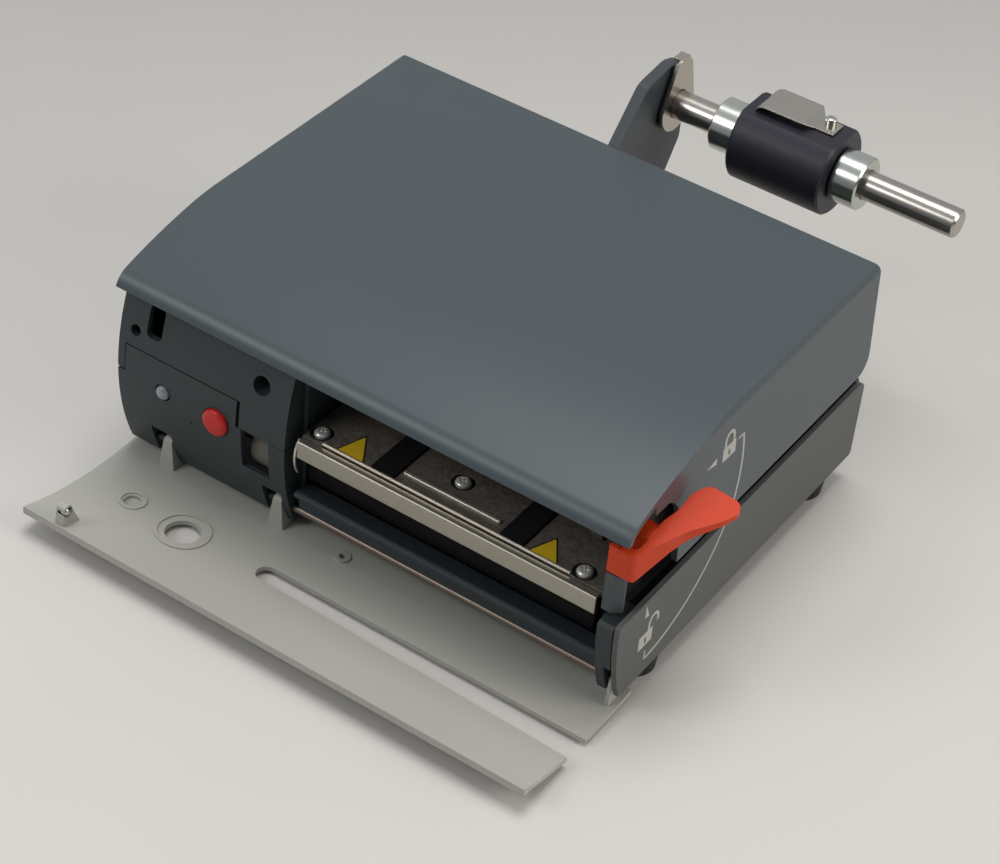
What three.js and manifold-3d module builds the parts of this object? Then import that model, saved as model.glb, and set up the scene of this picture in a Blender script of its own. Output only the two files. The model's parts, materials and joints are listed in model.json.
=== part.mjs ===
// Portable label printer, in millimetres: x to the right, y to the back, z up.
// The body sits left of a front roller bay, with a flap that lies open in front,
// a lid that hinges on the left, a head that lifts under a side lever, and an
// unwinder for a label roll behind.
import * as THREE from 'three';
import { mergeVertices } from 'three/addons/utils/BufferGeometryUtils.js';
import Module from 'manifold-3d';

const wasm = await Module();
wasm.setup();

// Driving sizes, general
const gap = 0.3; // between pieces that touch
const overrun = 1; // how far a cutting shape passes the surface it cuts
const wall = 2.6; // moulded shell walls
const halfTurn = Math.PI;
const facetShare = 0.56; // share of the facet counts asked for that is made

// Driving sizes of the body
const bodyWidth = 230;
const bodyDepth = 172;
const lowerHeight = 37; // top of the lower side panels
const shadowGap = 6; // dark gap between the lower panels and the lid
const lidHeight = 91; // top of the lid
const floorThickness = 2.6;
const floorDrop = 1; // underside of the floor, below the body's zero height
const frontBulge = 6; // how far the side panel's front edge swells forward
const housingBulge = 3.6; // the same for the left housing
const frontRadius = 100; // radius of the swelling front
const bulgeHeight = 33; // height of its foremost line

// Driving sizes of the lid
const lid = {
  wall: 2.4, flatStart: 80, noseDrop: 12, nosePower: 2.2, noseReach: 5, noseRadius: 9, lipHeight: 73,
  draft: 2.6, edgeRadius: 3, cornerRadius: 8, hingeInset: 6, hingeHeight: 45, pinRadius: 1.5,
  knuckleRadius: 3, knuckleLength: 16, knuckleFront: 44, knuckleRear: bodyDepth - 32, wallFront: 32,
};

// Driving sizes of the left housing
const housing = {
  left: 1, right: 81.2, top: 71.5, bottom: -5, seam: 46, split: 34.6, slitX: 59.2, cheekDepth: 27,
  slotX: 17, slotWidth: 7.2, slotLow: 53.5, slotHigh: 67, windowLeft: 61, windowRight: 73.6, windowLow: 16,
  notchWidth: 12.6, notchHigh: 10, screwX: 67.8, screwHeight: 57.2, screwRadius: 2, sinkRadius: 4.6,
  sinkDepth: 7, sinkWall: 1.8, headHeight: 2.4, pinX: 8.3, pinHeight: 53.6, pinRadius: 2.4,
  stripRight: 4.2, stripLow: 38.5,
};

// Driving sizes of the button and the light
const button = { x: 48.8, height: 31.8, radius: 5.8, proud: 2.4, dome: 1.6, stem: 2.5, length: 9 };
const lightPipe = { x: 23, height: 32.3, radius: 3, proud: 0.9, length: 5 };

// Driving sizes of the flap, drawn closed and then turned open
const flap = {
  hingeY: 4, hingeZ: 2.2, openAngle: 87.5, left: 0.5, right: bodyWidth - 1, top: 64, bottom: -6, thickness: 2,
  reach: 7.6, bulgeHeight: 21, radius: 150, rodRadius: 1.6, armWidth: 6, firstArm: 22.5, eyeRadius: 3.6,
  lip: 1.2, lipHeight: 3,
  slotLeft: 85, slotLow: 24.3, slotHigh: 32.9, slotHighRight: 36.5, holeX: 50.6, holeHeight: 30.8,
  holeRadius: 7,
  ringRadius: 11,
  ringHeight: 0.6, ringWidth: 1.2, lensX: 24.9, lensRadius: 3.4, lensDepth: 0.8, lensRing: 5.6,
  bossX: 105.6, bossHeight: 3.4, bossRadius: 3.2, bossHole: 1.4,
  lugWidth: 4, lugLength: 7.6, lugHeight: 58, lugDepth: 6, ballRadius: 2, ballTravel: 0.8,
};

// Driving sizes of the right side
const side = {
  panel: 2.1, slit: 1, plateFront: 6.6, plateWeb: 3, frontDepth: 10, plateTop: 34.5, plateBottom: -2,
  bevel: 1.4, notchWidth: 3, notchHigh: 12.5, earWidth: 16, earTop: 46, cornerRadius: 4.5, rearRadius: 1.5,
  padShares: [[0.12, 0.22], [0.87, 0.22], [0.87, 0.76], [0.5, 0.76]],
};

// Driving sizes of the platen roller and its drive
const platen = {
  y: 12.5, z: 22, radius: 8, shaftRadius: 3, left: 86.5, right: bodyWidth - 16, shaftEnd: bodyWidth - 3.6,
};
const thumb = { left: 64.5, width: 8.5, radius: 13.4, grips: 30, gripDepth: 0.5, gripShare: 0.5 };
const gears = {
  module: 1.5, width: 3.8, left: 74.2, backlash: 0.3, platenTeeth: 16, idlerTeeth: 20, pinionTeeth: 9,
  upperTeeth: 15, takeupTeeth: 22, idlerAngle: 10, addendumShare: 0.8, dedendumShare: 1.15, rootShare: 0.31,
  tipShare: 0.13, axleRadius: 2, rimShare: 0.72, hubRadius: 4, webShare: 0.45,
};
const motor = { size: 42, corner: 5, length: 34, boss: 11, bossHeight: 2, shaft: 2.5, shaftDepth: 12,
  front: 66 };

// Driving sizes of the printhead group
const head = {
  left: 85, right: bodyWidth - 12.7, plateTop: 41, plateThickness: 2.4, front: 2.4, pivotY: 60, pivotZ: 40,
  pivotRadius: 3, barrel: 5, stripFront: -1.2, stripBottom: 32.6, stripTop: 40.4, stripSheet: 0.8,
  foldDepth: 3.2,
  ridgeLeft: 94, ridgeRight: bodyWidth - 27, ridgeHeight: 1.1, blockFront: 3.4, blockRear: 34,
  blockBottom: 32,
  lineHalf: 2.6, screwRadius: 3.1, screwHeight: 2, recessRadius: 4.6, recessDepth: 0.6, ribRadius: 0.7,
  ribY: 9, ribLeft: 126.5, ribRight: bodyWidth - 61, padWidth: 10, padFront: 3.2, padRear: 36, padSheet: 0.9,
  tappetFront: 27, tappetRear: 35, tappetTop: 47.8, padLeft: 115, padRight: bodyWidth - 58,
};
const screwPlaces = [{ x: 89.7, y: 8 }, { x: 146, y: 18.6 }, { x: bodyWidth - 23.6, y: 7.2 }];

// Driving sizes of the head lever, and of the cam shaft that it turns through two gears
const lever = {
  pivotY: 13, pivotZ: 61, shaftRadius: 3, capLeft: bodyWidth - 11.6, capRight: bodyWidth + 1, capFront: -1.2,
  capBottom: 54.4, capTop: 66.5, capDepth: 3.4, capBevel: 1.5, hubLeft: bodyWidth - 7.8, hubRadius: 8.5,
  roomRadius: 17, roomTop: 76, wallStart: 12.5, gearLeft: bodyWidth - 24, gearWidth: 5, gearTeeth: 12,
  sectorLow: -25, sectorHigh: 112, collarRadius: 5.5,
};
const cam = { lobe: 12.2, radius: 4.8, tip: 3, width: 6, shaftRadius: 3, shaftEnd: bodyWidth - 8 };

// The handle in plan, as x outside the body's right side and y, then its top and its underside
const handle = {
  inner: 0.4, front: 1, flareX: 8.8, flareY: 17.6, wideX: 16, wideY: 29.5, tipX: 13.5, tipY: 35,
  tipRadius: 4.5,
  backX: 3.4, backY: 40.5, sideY: 34.5, topHeight: 67, riseShare: 0.17, wedgeY: 18.9, wedgeZ: 65.5,
  thinY: 29, thinZ: 68.9, rearY: 48, rearZ: 72.1,
};
const post = {
  left: bodyWidth - 11.4, right: bodyWidth - 4, sheet: 3, depth: 3.5, chamfer: 1.6, bottom: 36.6,
  headRadius: 8.6,
  camRadius: 7, footHeight: 34.8, footFront: 10, footRear: 20, throat: 50,
};

// Driving sizes of the front bar and the feet
const bar = { left: 84.2, right: bodyWidth - 10.1, top: 15, rear: 9, bottom: 4.4, front: -1.6 };
const foot = {
  radius: 8, taper: 1, height: 10.7, insetX: 15, front: 29, rear: bodyDepth - 19, dimple: 3, dimpleDepth: 1.2,
};

// Driving sizes of the frame inside
const centre = {
  left: 81.6, thickness: 1.9, front: 7, rear: bodyDepth - 6, top: 84, frontTop: 64, slopeEnd: 58,
  holeRadius: 10.4,
  holeShares: [[0.64, 0.24], [0.81, 0.24], [0.87, 0.83]],
};
const guide = {
  top: 27, thickness: 1.6, front: 25, rear: bodyDepth - 6, left: 86, right: bodyWidth - 13, lip: 3,
  fence: 7, fenceWidth: 3, fenceLength: 44, fenceInset: 6, footInset: 8, slotInset: 32, slotWidth: 4,
  legFront: 20, legRear: 10,
};
const sensor = { x: 150, y: 40, width: 12, depth: 9, height: 5, slot: 2 };
const ribbon = {
  supplyY: bodyDepth - 46, supplyZ: 63, takeupY: 78, takeupZ: 68, radius: 12.5, bore: 3.4,
  length: bodyWidth - 120, spindle: 3,
  flange: 17, flangeWidth: 2, ribs: 6, ribHeight: 1.2, ribWidth: 2, left: 86,
};
const board = {
  left: 13, thickness: 1.6, front: 34, rear: bodyDepth - 20, low: 8, high: 74, chip: 3, capRadius: 5,
  capLength: 12,
  chipShares: [[0.22, 0.18, 0.21], [0.44, 0.58, 0.27], [0.73, 0.24, 0.15]],
  capShares: [[0.8, 0.73], [0.93, 0.73]],
};

// Driving sizes of the rear sockets
const inlet = { left: 14, width: 22, low: 8, height: 18, depth: 16, rim: 2, pin: 1.2, pinLength: 8 };
const rocker = { left: 46, width: 12, low: 9, height: 17, depth: 12, rim: 1.6, tilt: 12, proud: 2.4 };
const usb = { left: 66, width: 9, low: 24, height: 9, depth: 12, sheet: 0.8 };
const serial = { left: 61, width: 19, low: 9, height: 9, depth: 10, pins: 5, pinRadius: 0.5, rim: 1.2 };
const mediaInlet = { left: 112, right: bodyWidth - 16, low: 25, high: 36 };

// Driving sizes of the unwinder
const unwinder = {
  armLeft: 103, armThick: 5, foot: 4, top: 111.5, shaftY: bodyDepth + 41, shaftZ: 92.6, shaftRadius: 6,
  shaftEnd: 238.5, chamfer: 1, flangeWidth: 16, flangeThick: 4, flangeTop: 39, rear: bodyDepth + 57.5,
  plateSheet: 1.4, padSheet: 1, plateRadius: 12, plateHalf: 10.4, plateTop: 112.6, foldDepth: 3,
  foldLength: 6,
  foldShift: 2, collarWidth: 12, collarRadius: 11, innerCollar: 131.2, coreLeft: 143.6, coreLength: 42,
  coreRadius: 18, coreBore: 6.4, flatHeight: 15.4, boltRadius: 6.5, boltHeight: 5.3, sleeve: 9,
  screwRadius: 1.8,
  shoulderShare: 0.38, crestShare: 0.74, bowShare: 0.9, heelShare: 0.78, toeShare: 0.2, tailHeight: 70.7,
  screwInset: 6.2,
};
const leaf = {
  left: 147.6, flat: 21.4, bend: 3.4, length: 33, width: 17, shift: 3, tabWidth: 9, sheet: 0.6, rise: 2.2,
  screwX: 28.2, screwRadius: 2.2, screwHeight: 1.6,
};

// Values that follow from the driving sizes
const lidBottom = lowerHeight + shadowGap;
const floorTop = floorThickness - floorDrop;
const panelInner = bodyWidth - side.panel;
const plateRight = panelInner - side.slit;
const plateLeft = plateRight - side.plateFront;
const lidRear = bodyDepth - 2 * gap;
const armFront = bodyDepth + gap;
const innerRight = centre.left + centre.thickness;

// Materials
const finish = (color, roughness, metalness) => new THREE.MeshStandardMaterial({ color, roughness,
  metalness });
const finishes = {
  slate: finish(0x4d585e, 0.5, 0),
  panel: finish(0x3a4248, 0.55, 0),
  sideGrey: finish(0x5d5e5a, 0.6, 0),
  flapGrey: finish(0xa9a99f, 0.5, 0),
  orange: finish(0xd24a28, 0.45, 0),
  red: finish(0xd2342f, 0.35, 0),
  clear: finish(0xbfcbd8, 0.2, 0),
  steel: finish(0xb4b1aa, 0.3, 1),
  zinc: finish(0xc4c6c4, 0.35, 1),
  castGrey: finish(0x6a6662, 0.6, 0.6),
  black: finish(0x151618, 0.6, 0),
  rubber: finish(0x1d1d1f, 0.85, 0),
  core: finish(0x2e2c38, 0.4, 0.1),
  arm: finish(0x3d444a, 0.5, 0.2),
  boardGreen: finish(0x1f5a3a, 0.6, 0),
  nylon: finish(0xd9d6c8, 0.6, 0),
};

// Shapes as closed solids
function solid(geometry) {
  geometry.deleteAttribute('normal');
  geometry.deleteAttribute('uv');
  const merged = mergeVertices(geometry, gap / 1e4);
  return new wasm.Manifold(new wasm.Mesh({
    numProp: 3,
    vertProperties: new Float32Array(merged.attributes.position.array),
    triVerts: new Uint32Array(merged.index.array),
  }));
}

const join = (...parts) => parts.reduce((sum, part) => sum.add(part));
const cut = (body, ...tools) => tools.reduce((rest, tool) => rest.subtract(tool), body);
const common = (first, second) => first.intersect(second);

// Axis frames: which world axes an outline's two directions and its depth follow
const alongX = new THREE.Matrix4().makeBasis(
  new THREE.Vector3(0, 1, 0), new THREE.Vector3(0, 0, 1), new THREE.Vector3(1, 0, 0));
const alongY = new THREE.Matrix4().makeBasis(
  new THREE.Vector3(1, 0, 0), new THREE.Vector3(0, 0, 1), new THREE.Vector3(0, -1, 0));

function extruded(points, depth) {
  const shape = new THREE.Shape(points.map(([u, v]) => new THREE.Vector2(u, v)));
  return new THREE.ExtrudeGeometry(shape, { depth, bevelEnabled: false, steps: 1 });
}

// An outline in y and z, from x = from to x = to
const prismX = (points, from, to) => solid(extruded(points, to - from).applyMatrix4(alongX).translate(from,
  0, 0));
// An outline in x and z, from y = from to y = to
const prismY = (points, from, to) => solid(extruded(points, to - from).applyMatrix4(alongY).translate(0, to,
  0));
// An outline in x and y, from z = from to z = to
const prismZ = (points, from, to) => solid(extruded(points, to - from).translate(0, 0, from));

const rectangle = (u0, u1, v0, v1) => [[u0, v0], [u1, v0], [u1, v1], [u0, v1]];
const block = (x0, x1, y0, y1, z0, z1) => prismZ(rectangle(x0, x1, y0, y1), z0, z1);

const facets = (steps) => Math.max(6, Math.round(steps * facetShare));

// Points on an arc, in degrees, with about the number of steps given for a full turn
function arc(u, v, radius, start, end, fullSteps = 24) {
  const steps = Math.max(2, Math.round((Math.abs(end - start) / 360) * facets(fullSteps)));
  return Array.from({ length: steps + 1 }, (_, i) => {
    const angle = THREE.MathUtils.degToRad(start + ((end - start) * i) / steps);
    return [u + radius * Math.cos(angle), v + radius * Math.sin(angle)];
  });
}

const circle = (u, v, radius, steps = 20) => arc(u, v, radius, 0, 360, steps).slice(0, -1);

function rounded(u0, u1, v0, v1, radius) {
  return [
    ...arc(u1 - radius, v0 + radius, radius, -90, 0), ...arc(u1 - radius, v1 - radius, radius, 0, 90),
    ...arc(u0 + radius, v1 - radius, radius, 90, 180), ...arc(u0 + radius, v0 + radius, radius, 180, 270),
  ];
}

const rodX = (y, z, radius, from, to, steps) => prismX(circle(y, z, radius, steps), from, to);
const rodY = (x, z, radius, from, to, steps) => prismY(circle(x, z, radius, steps), from, to);
const rodZ = (x, y, radius, from, to, steps) => prismZ(circle(x, y, radius, steps), from, to);

// A turned piece: its profile is [radius, height] along the given start and direction
function turned(profile, place, steps = 20) {
  const geometry = new THREE.LatheGeometry(profile.map(([r, h]) => new THREE.Vector2(r, h)), facets(steps));
  return solid(geometry.applyMatrix4(place));
}

// A lathe's own axis is y; these lay it along x, along -y (towards the front) and along z
const latheX = (x, y, z) => new THREE.Matrix4().makeRotationZ(-halfTurn / 2).setPosition(x, y, z);
const latheFront = (x, y, z) => new THREE.Matrix4().makeRotationX(halfTurn).setPosition(x, y, z);
const latheUp = (x, y, z) => new THREE.Matrix4().makeRotationX(halfTurn / 2).setPosition(x, y, z);

// The scene graph
const printer = new THREE.Group();

function toMesh(name, body, material) {
  const raw = body.getMesh();
  const geometry = new THREE.BufferGeometry();
  geometry.setAttribute('position', new THREE.BufferAttribute(new Float32Array(raw.vertProperties), 3));
  geometry.setIndex(new THREE.BufferAttribute(new Uint32Array(raw.triVerts), 1));
  const mesh = new THREE.Mesh(geometry, material);
  mesh.name = name;
  return mesh;
}

const add = (name, body, material) => printer.add(toMesh(name, body, material));

// The swelling front line, as [y, z] points from low to high
function frontLine(bulge, low, high, radius = frontRadius, middle = bulgeHeight, steps = 9) {
  return Array.from({ length: steps + 1 }, (_, i) => {
    const z = low + ((high - low) * i) / steps;
    return [radius - bulge - Math.sqrt(radius ** 2 - (z - middle) ** 2), z];
  });
}

// A curved front wall between two heights
function frontWall(bulge, low, high, thickness, from, to, radius, middle) {
  const outer = frontLine(bulge, low, high, radius, middle);
  const inner = outer.map(([y, z]) => [y + thickness, z]).reverse();
  return prismX([...outer, ...inner], from, to);
}

// The lid's outline seen from the side, moved inwards by an inset: a flat top that bends
// down ever more, and a round nose that goes on from it without a crease
function lidOutline(inset, bottom) {
  const top = lidHeight - inset;
  const centreY = lid.noseRadius - lid.noseReach;
  const tilt = Math.atan2(lid.noseDrop * lid.nosePower, lid.flatStart - centreY);
  const centreZ = lidHeight - lid.noseDrop - lid.noseRadius * Math.cos(tilt);
  const radius = lid.noseRadius - inset;
  const end = centreY - radius * Math.sin(tilt);
  const drop = top - centreZ - radius * Math.cos(tilt);
  const steps = 11;
  const slope = Array.from({ length: steps }, (_, i) => {
    const share = i / steps;
    return [lid.flatStart + (end - lid.flatStart) * share, top - drop * share ** lid.nosePower];
  });
  const low = THREE.MathUtils.radToDeg(halfTurn - Math.asin((lid.lipHeight - centreZ) / radius));
  return [
    [lidRear - inset, bottom], [lidRear - inset, top], ...slope,
    ...arc(centreY, centreZ, radius, 90 + THREE.MathUtils.radToDeg(tilt), low, 60),
    [centreY - radius + gap, bottom],
  ];
}

// The lid's outline seen from the front: drafted sides and rounded long edges
function lidSection(inset, bottom) {
  const left = inset;
  const right = bodyWidth - inset;
  const top = lidHeight - inset;
  const radius = Math.max(lid.edgeRadius - inset, lid.edgeRadius / 4);
  return [
    [left, bottom], [right, bottom], [right - lid.draft, top - radius],
    ...arc(right - lid.draft - radius, top - radius, radius, 15, 90),
    ...arc(left + lid.draft + radius, top - radius, radius, 90, 165),
    [left + lid.draft, top - radius],
  ];
}

// The lid: one drafted shell, open below, with a slot for the lever's hub and hinge knuckles
function makeLid() {
  const outer = common(
    prismX(lidOutline(0, lidBottom), 0, bodyWidth),
    prismY(lidSection(0, lidBottom), -2 * lid.noseReach, bodyDepth));
  const below = lidBottom - overrun;
  const hollow = common(
    prismX(lidOutline(lid.wall, below), 0, bodyWidth),
    prismY(lidSection(lid.wall, below), -2 * lid.noseReach, bodyDepth));
  const front = -2 * lid.noseReach;
  const frontRoom = block(-overrun, bodyWidth + overrun, front, 0, below, lid.lipHeight);
  const cheekRoom = block(-overrun, bodyWidth / 2, front, lid.wallFront, below, lid.lipHeight);
  const leverRoom = makeLeverRoom(front, below);
  const rearCorner = cut(
    block(-overrun, bodyWidth + overrun, lidRear - lid.cornerRadius, bodyDepth, below,
    lidBottom + lid.cornerRadius),
    rodX(lidRear - lid.cornerRadius, lidBottom + lid.cornerRadius, lid.cornerRadius, -2 * overrun,
      bodyWidth + 2 * overrun));
  let shell = cut(outer, hollow, frontRoom, cheekRoom, leverRoom, rearCorner);
  for (const start of [lid.knuckleFront, lid.knuckleRear]) shell = join(shell, makeKnuckle(start));
  const notches = earPlaces().map(([from, to]) => block(-overrun, lid.hingeInset, from - 2 * gap,
    to + 2 * gap,
    below, lid.hingeHeight + lid.knuckleRadius + overrun));
  return cut(shell, ...notches,
    rodY(lid.hingeInset, lid.hingeHeight, lid.pinRadius + gap, 0, bodyDepth, 20));
}

// The opening in the lid's right wall for the lever: open up to the roof in front, then a round
// corner over the hub, and open below
function makeLeverRoom(front, below) {
  const { pivotY: y, pivotZ: z, roomRadius, roomTop, wallStart } = lever;
  const from = plateLeft;
  const to = bodyWidth + overrun;
  const ahead = block(from, to, front, wallStart, below, lidHeight);
  const round = common(rodX(y, z, roomRadius, from, to, 48), block(from, to, front, y + roomRadius, z,
    roomTop));
  const under = block(from, to, front, y + roomRadius, below, z);
  return common(join(ahead, round, under), prismX(lidOutline(lid.wall, below), from, to));
}

// Where the ears that carry the lid's pin stand, as [from, to] along the body
function earPlaces() {
  return [lid.knuckleFront, lid.knuckleRear].flatMap((start) => {
    const end = start + lid.knuckleLength;
    return [[start - gap - lid.knuckleRadius, start - gap], [end + gap, end + gap + lid.knuckleRadius]];
  });
}

// One knuckle of the lid's hinge, standing on the inside of the left wall
function makeKnuckle(start) {
  const { hingeInset: x, hingeHeight: z, knuckleRadius: r, knuckleLength: long } = lid;
  return join(
    rodY(x, z, r, start, start + long, 24),
    block(lid.wall / 2, x, start, start + long, z, z + 2 * r));
}
add('top_cover', makeLid(), finishes.slate);

// The lid's hinge pin runs through both pairs of ears on the left panel
const pinReach = lid.knuckleLength / 2;
add('cover_hinge_pin', rodY(lid.hingeInset, lid.hingeHeight, lid.pinRadius, lid.knuckleFront - pinReach,
  lid.knuckleRear + lid.knuckleLength + pinReach, 20), finishes.steel);

// Left side panel: lower wall of the body with the ears that hold the lid's pins
function sideOutline(front) {
  const low = -floorDrop;
  const { bevel, cornerRadius, rearRadius } = side;
  return [
    ...frontLine(front, low, lowerHeight - bevel),
    [-front + bevel, lowerHeight],
    ...arc(bodyDepth - cornerRadius, lowerHeight - cornerRadius, cornerRadius, 90, 0),
    ...arc(bodyDepth - rearRadius, low + rearRadius, rearRadius, 0, -90),
  ];
}

function makeLeftPanel() {
  const front = housing.cheekDepth + gap;
  const plate = common(
    prismX(sideOutline(0), 0, wall),
    block(-overrun, wall + overrun, front, bodyDepth, -2 * floorDrop, lowerHeight + overrun));
  const ears = earPlaces().map(([from, to]) => join(
    rodY(lid.hingeInset, lid.hingeHeight, lid.knuckleRadius, from, to, 24),
    block(wall + gap, lid.hingeInset + lid.knuckleRadius, from, to, lowerHeight - 3 * wall, lid.hingeHeight),
    block(0, lid.hingeInset + lid.knuckleRadius, from, to, lowerHeight - 3 * wall, lowerHeight - wall)));
  const bore = rodY(lid.hingeInset, lid.hingeHeight, lid.pinRadius + gap / 2, 0, bodyDepth, 20);
  return cut(join(plate, ...ears), bore);
}
add('left_side_panel', makeLeftPanel(), finishes.panel);

// Base tray: the floor, its edge and the rear wall with the openings for media and sockets
function makeTray() {
  const left = wall + gap;
  const right = plateRight - side.plateFront / 2 - side.plateWeb - gap;
  const front = bar.rear + gap;
  const slab = join(
    block(left, right, housing.cheekDepth + gap, bodyDepth - wall, -floorDrop, floorTop),
    block(housing.right + gap, right, front, bodyDepth - wall, -floorDrop, floorTop));
  const rear = prismY(rounded(left, panelInner - gap, -floorDrop, lowerHeight, wall), bodyDepth - wall,
    bodyDepth);
  const sill = block(left, left + wall, housing.cheekDepth + gap, bodyDepth - wall, 0, lowerHeight / 3);
  const past = bodyDepth + overrun;
  const holes = [
    block(mediaInlet.left, mediaInlet.right, bodyDepth - 2 * wall, past, mediaInlet.low, mediaInlet.high),
    block(inlet.left, inlet.left + inlet.width, bodyDepth - 2 * wall, past, inlet.low,
    inlet.low + inlet.height),
    block(rocker.left, rocker.left + rocker.width, bodyDepth - 2 * wall, past, rocker.low,
      rocker.low + rocker.height),
    block(usb.left, usb.left + usb.width, bodyDepth - 2 * wall, past, usb.low, usb.low + usb.height),
    block(serial.left, serial.left + serial.width, bodyDepth - 2 * wall, past, serial.low,
      serial.low + serial.height),
  ];
  return cut(join(slab, rear, sill), ...holes);
}
add('base_tray', makeTray(), finishes.panel);

// Left housing, lower part: curved front with button, light, window and hinge notches
function makeLowerFront() {
  const low = housing.bottom;
  const front = frontWall(housingBulge, low, housing.seam, wall, housing.left, housing.right);
  const cheeks = [housing.left, housing.right - wall].map((x) => {
    const line = frontLine(housingBulge, low, housing.seam);
    return prismX([...line, [housing.cheekDepth, housing.seam], [housing.cheekDepth, -floorDrop],
      [-low, low]], x, x + wall);
  });
  const rim = 4 * wall;
  const tools = [
    block(housing.slitX - gap, housing.right + overrun, -rim, housing.cheekDepth + overrun,
      housing.split - gap, housing.seam + overrun),
    block(housing.windowLeft, housing.windowRight, -rim, rim, housing.windowLow, housing.seam),
    ...flapArms().slice(0, 2).map(({ x }) => block(x - housing.notchWidth / 2, x + housing.notchWidth / 2,
      -rim, rim, low - overrun, housing.notchHigh)),
    rodX(flap.hingeY, flap.hingeZ, flap.rodRadius + gap, housing.left + wall, housing.right + overrun, 20),
    rodY(button.x, button.height, button.radius + gap, -rim, rim),
    rodY(lightPipe.x, lightPipe.height, lightPipe.radius + gap, -rim, rim),
    block(housing.left - overrun, housing.stripRight + gap, -rim, housing.cheekDepth + overrun,
      housing.stripLow - gap, housing.seam + overrun),
    thumbRoom(), shaftRoom(),
  ];
  return cut(join(front, ...cheeks), ...tools);
}

const thumbRoom = () => rodX(platen.y, platen.z, thumb.radius + 2 * gap, thumb.left - 2 * gap,
  gears.left + gears.width + gap, 36);

const shaftRoom = () => rodX(platen.y, platen.z, platen.shaftRadius + gap, thumb.left,
  housing.right + overrun, 28);

// The flap's hinge arms: two in the housing's notches and a narrow one in the right plate's notch
const flapArms = () => [
  { x: flap.firstArm, width: flap.armWidth },
  { x: housing.right - flap.armWidth, width: flap.armWidth },
  { x: plateRight - side.notchWidth / 2, width: side.notchWidth - 2 * gap },
];
add('lower_front_panel', makeLowerFront(), finishes.panel);

// Left housing, upper part, with the catch slot and the sunk screw
const housingFace = (z) => frontRadius - housingBulge - Math.sqrt(frontRadius ** 2 - (z - bulgeHeight) ** 2);
const screwPlace = new THREE.Matrix4().setPosition(
  housing.screwX, housingFace(housing.screwHeight), housing.screwHeight);
function makeUpperFront() {
  const { left, right, seam, split, top, slitX, cheekDepth, stripRight, stripLow } = housing;
  const low = seam + gap;
  const front = frontWall(housingBulge, low, top, wall, left, right);
  const strip = frontWall(housingBulge, stripLow, seam + overrun, wall, left, stripRight);
  const column = frontWall(housingBulge, split, seam + overrun, wall, slitX + gap, right);
  const cheek = (x, from) => prismX([...frontLine(housingBulge, from, top), [cheekDepth, top],
    [cheekDepth, from]],
    x, x + wall);
  const roof = prismX([...frontLine(housingBulge, top - wall, top), [cheekDepth, top],
    [cheekDepth, top - wall]],
    left, right);
  const { sinkRadius, sinkDepth, sinkWall, screwRadius, slotX, slotWidth, slotLow, slotHigh } = housing;
  const boss = turned([[0, wall / 2], [sinkRadius + sinkWall, wall / 2],
    [sinkRadius + sinkWall, sinkDepth + sinkWall],
    [0, sinkDepth + sinkWall]], screwPlace);
  const sink = turned([[0, -wall], [sinkRadius, -wall], [sinkRadius, sinkDepth],
    [screwRadius + gap, sinkDepth],
    [screwRadius + gap, sinkDepth + 2 * sinkWall], [0, sinkDepth + 2 * sinkWall]], screwPlace);
  const rim = 4 * wall;
  return cut(join(front, strip, column, roof, cheek(left, stripLow), cheek(right - wall, split), boss), sink,
    prismY(rounded(slotX - slotWidth / 2, slotX + slotWidth / 2, slotLow, slotHigh, slotWidth / 3), -rim,
    rim),
    rodY(housing.pinX, housing.pinHeight, housing.pinRadius, -rim, wall / 2),
    thumbRoom(), shaftRoom());
}
add('upper_front_housing', makeUpperFront(), finishes.panel);

// The housing's screw, at the bottom of its sink
function makeHousingScrew() {
  const { sinkRadius, sinkDepth, sinkWall, screwRadius: r, headHeight } = housing;
  const seat = sinkDepth - gap;
  const edge = sinkRadius - 2 * gap;
  return turned([[0, seat - headHeight], [edge * 0.7, seat - headHeight], [edge, seat - headHeight * 0.6],
    [edge, seat], [r, seat], [r, sinkDepth + 3 * sinkWall], [0, sinkDepth + 3 * sinkWall]], screwPlace, 24);
}
add('housing_screw', makeHousingScrew(), finishes.zinc);

// Feed button and status light
const buttonBack = -wall - 3 * gap - overrun;
add('feed_button', turned([
  [0, -button.length], [button.stem, -button.length], [button.stem, buttonBack],
  [button.radius + gap + overrun, buttonBack], [button.radius + gap + overrun, buttonBack + overrun],
  [button.radius, buttonBack + overrun], [button.radius, button.proud - button.dome],
  [button.radius * 0.86, button.proud - button.dome * 0.3], [button.radius * 0.5, button.proud],
  [0, button.proud]], latheFront(button.x, housingFace(button.height), button.height), 24), finishes.red);
add('status_light_pipe', turned([
  [0, -lightPipe.length], [lightPipe.radius, -lightPipe.length], [lightPipe.radius, 0],
  [lightPipe.radius * 0.8, lightPipe.proud * 0.8], [0, lightPipe.proud]],
  latheFront(lightPipe.x, housingFace(lightPipe.height), lightPipe.height), 16), finishes.clear);

// Front flap, drawn closed round its hinge, with slot, holes, arms, catch lug and outer lip
function flapPlate(low, high, thickness, from, to) {
  return frontWall(flap.reach + thickness, low, high, thickness, from, to, flap.radius, flap.bulgeHeight);
}

const flapFace = (z) => flap.radius - flap.reach - Math.sqrt(flap.radius ** 2 - (z - flap.bulgeHeight) ** 2);

function makeFlapArm({ x, width }) {
  const face = flapFace(flap.hingeZ);
  const arm = prismX([
    [face - flap.thickness / 2, flap.hingeZ - flap.eyeRadius], [flap.hingeY, flap.hingeZ - flap.eyeRadius],
    ...arc(flap.hingeY, flap.hingeZ, flap.eyeRadius, -90, 60), [face, flap.hingeZ + flap.eyeRadius],
    [face - flap.thickness / 2, flap.hingeZ + flap.eyeRadius]],
    x - width / 2, x + width / 2);
  return cut(arm, rodX(flap.hingeY, flap.hingeZ, flap.rodRadius + gap, x - width, x + width, 20));
}

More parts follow.
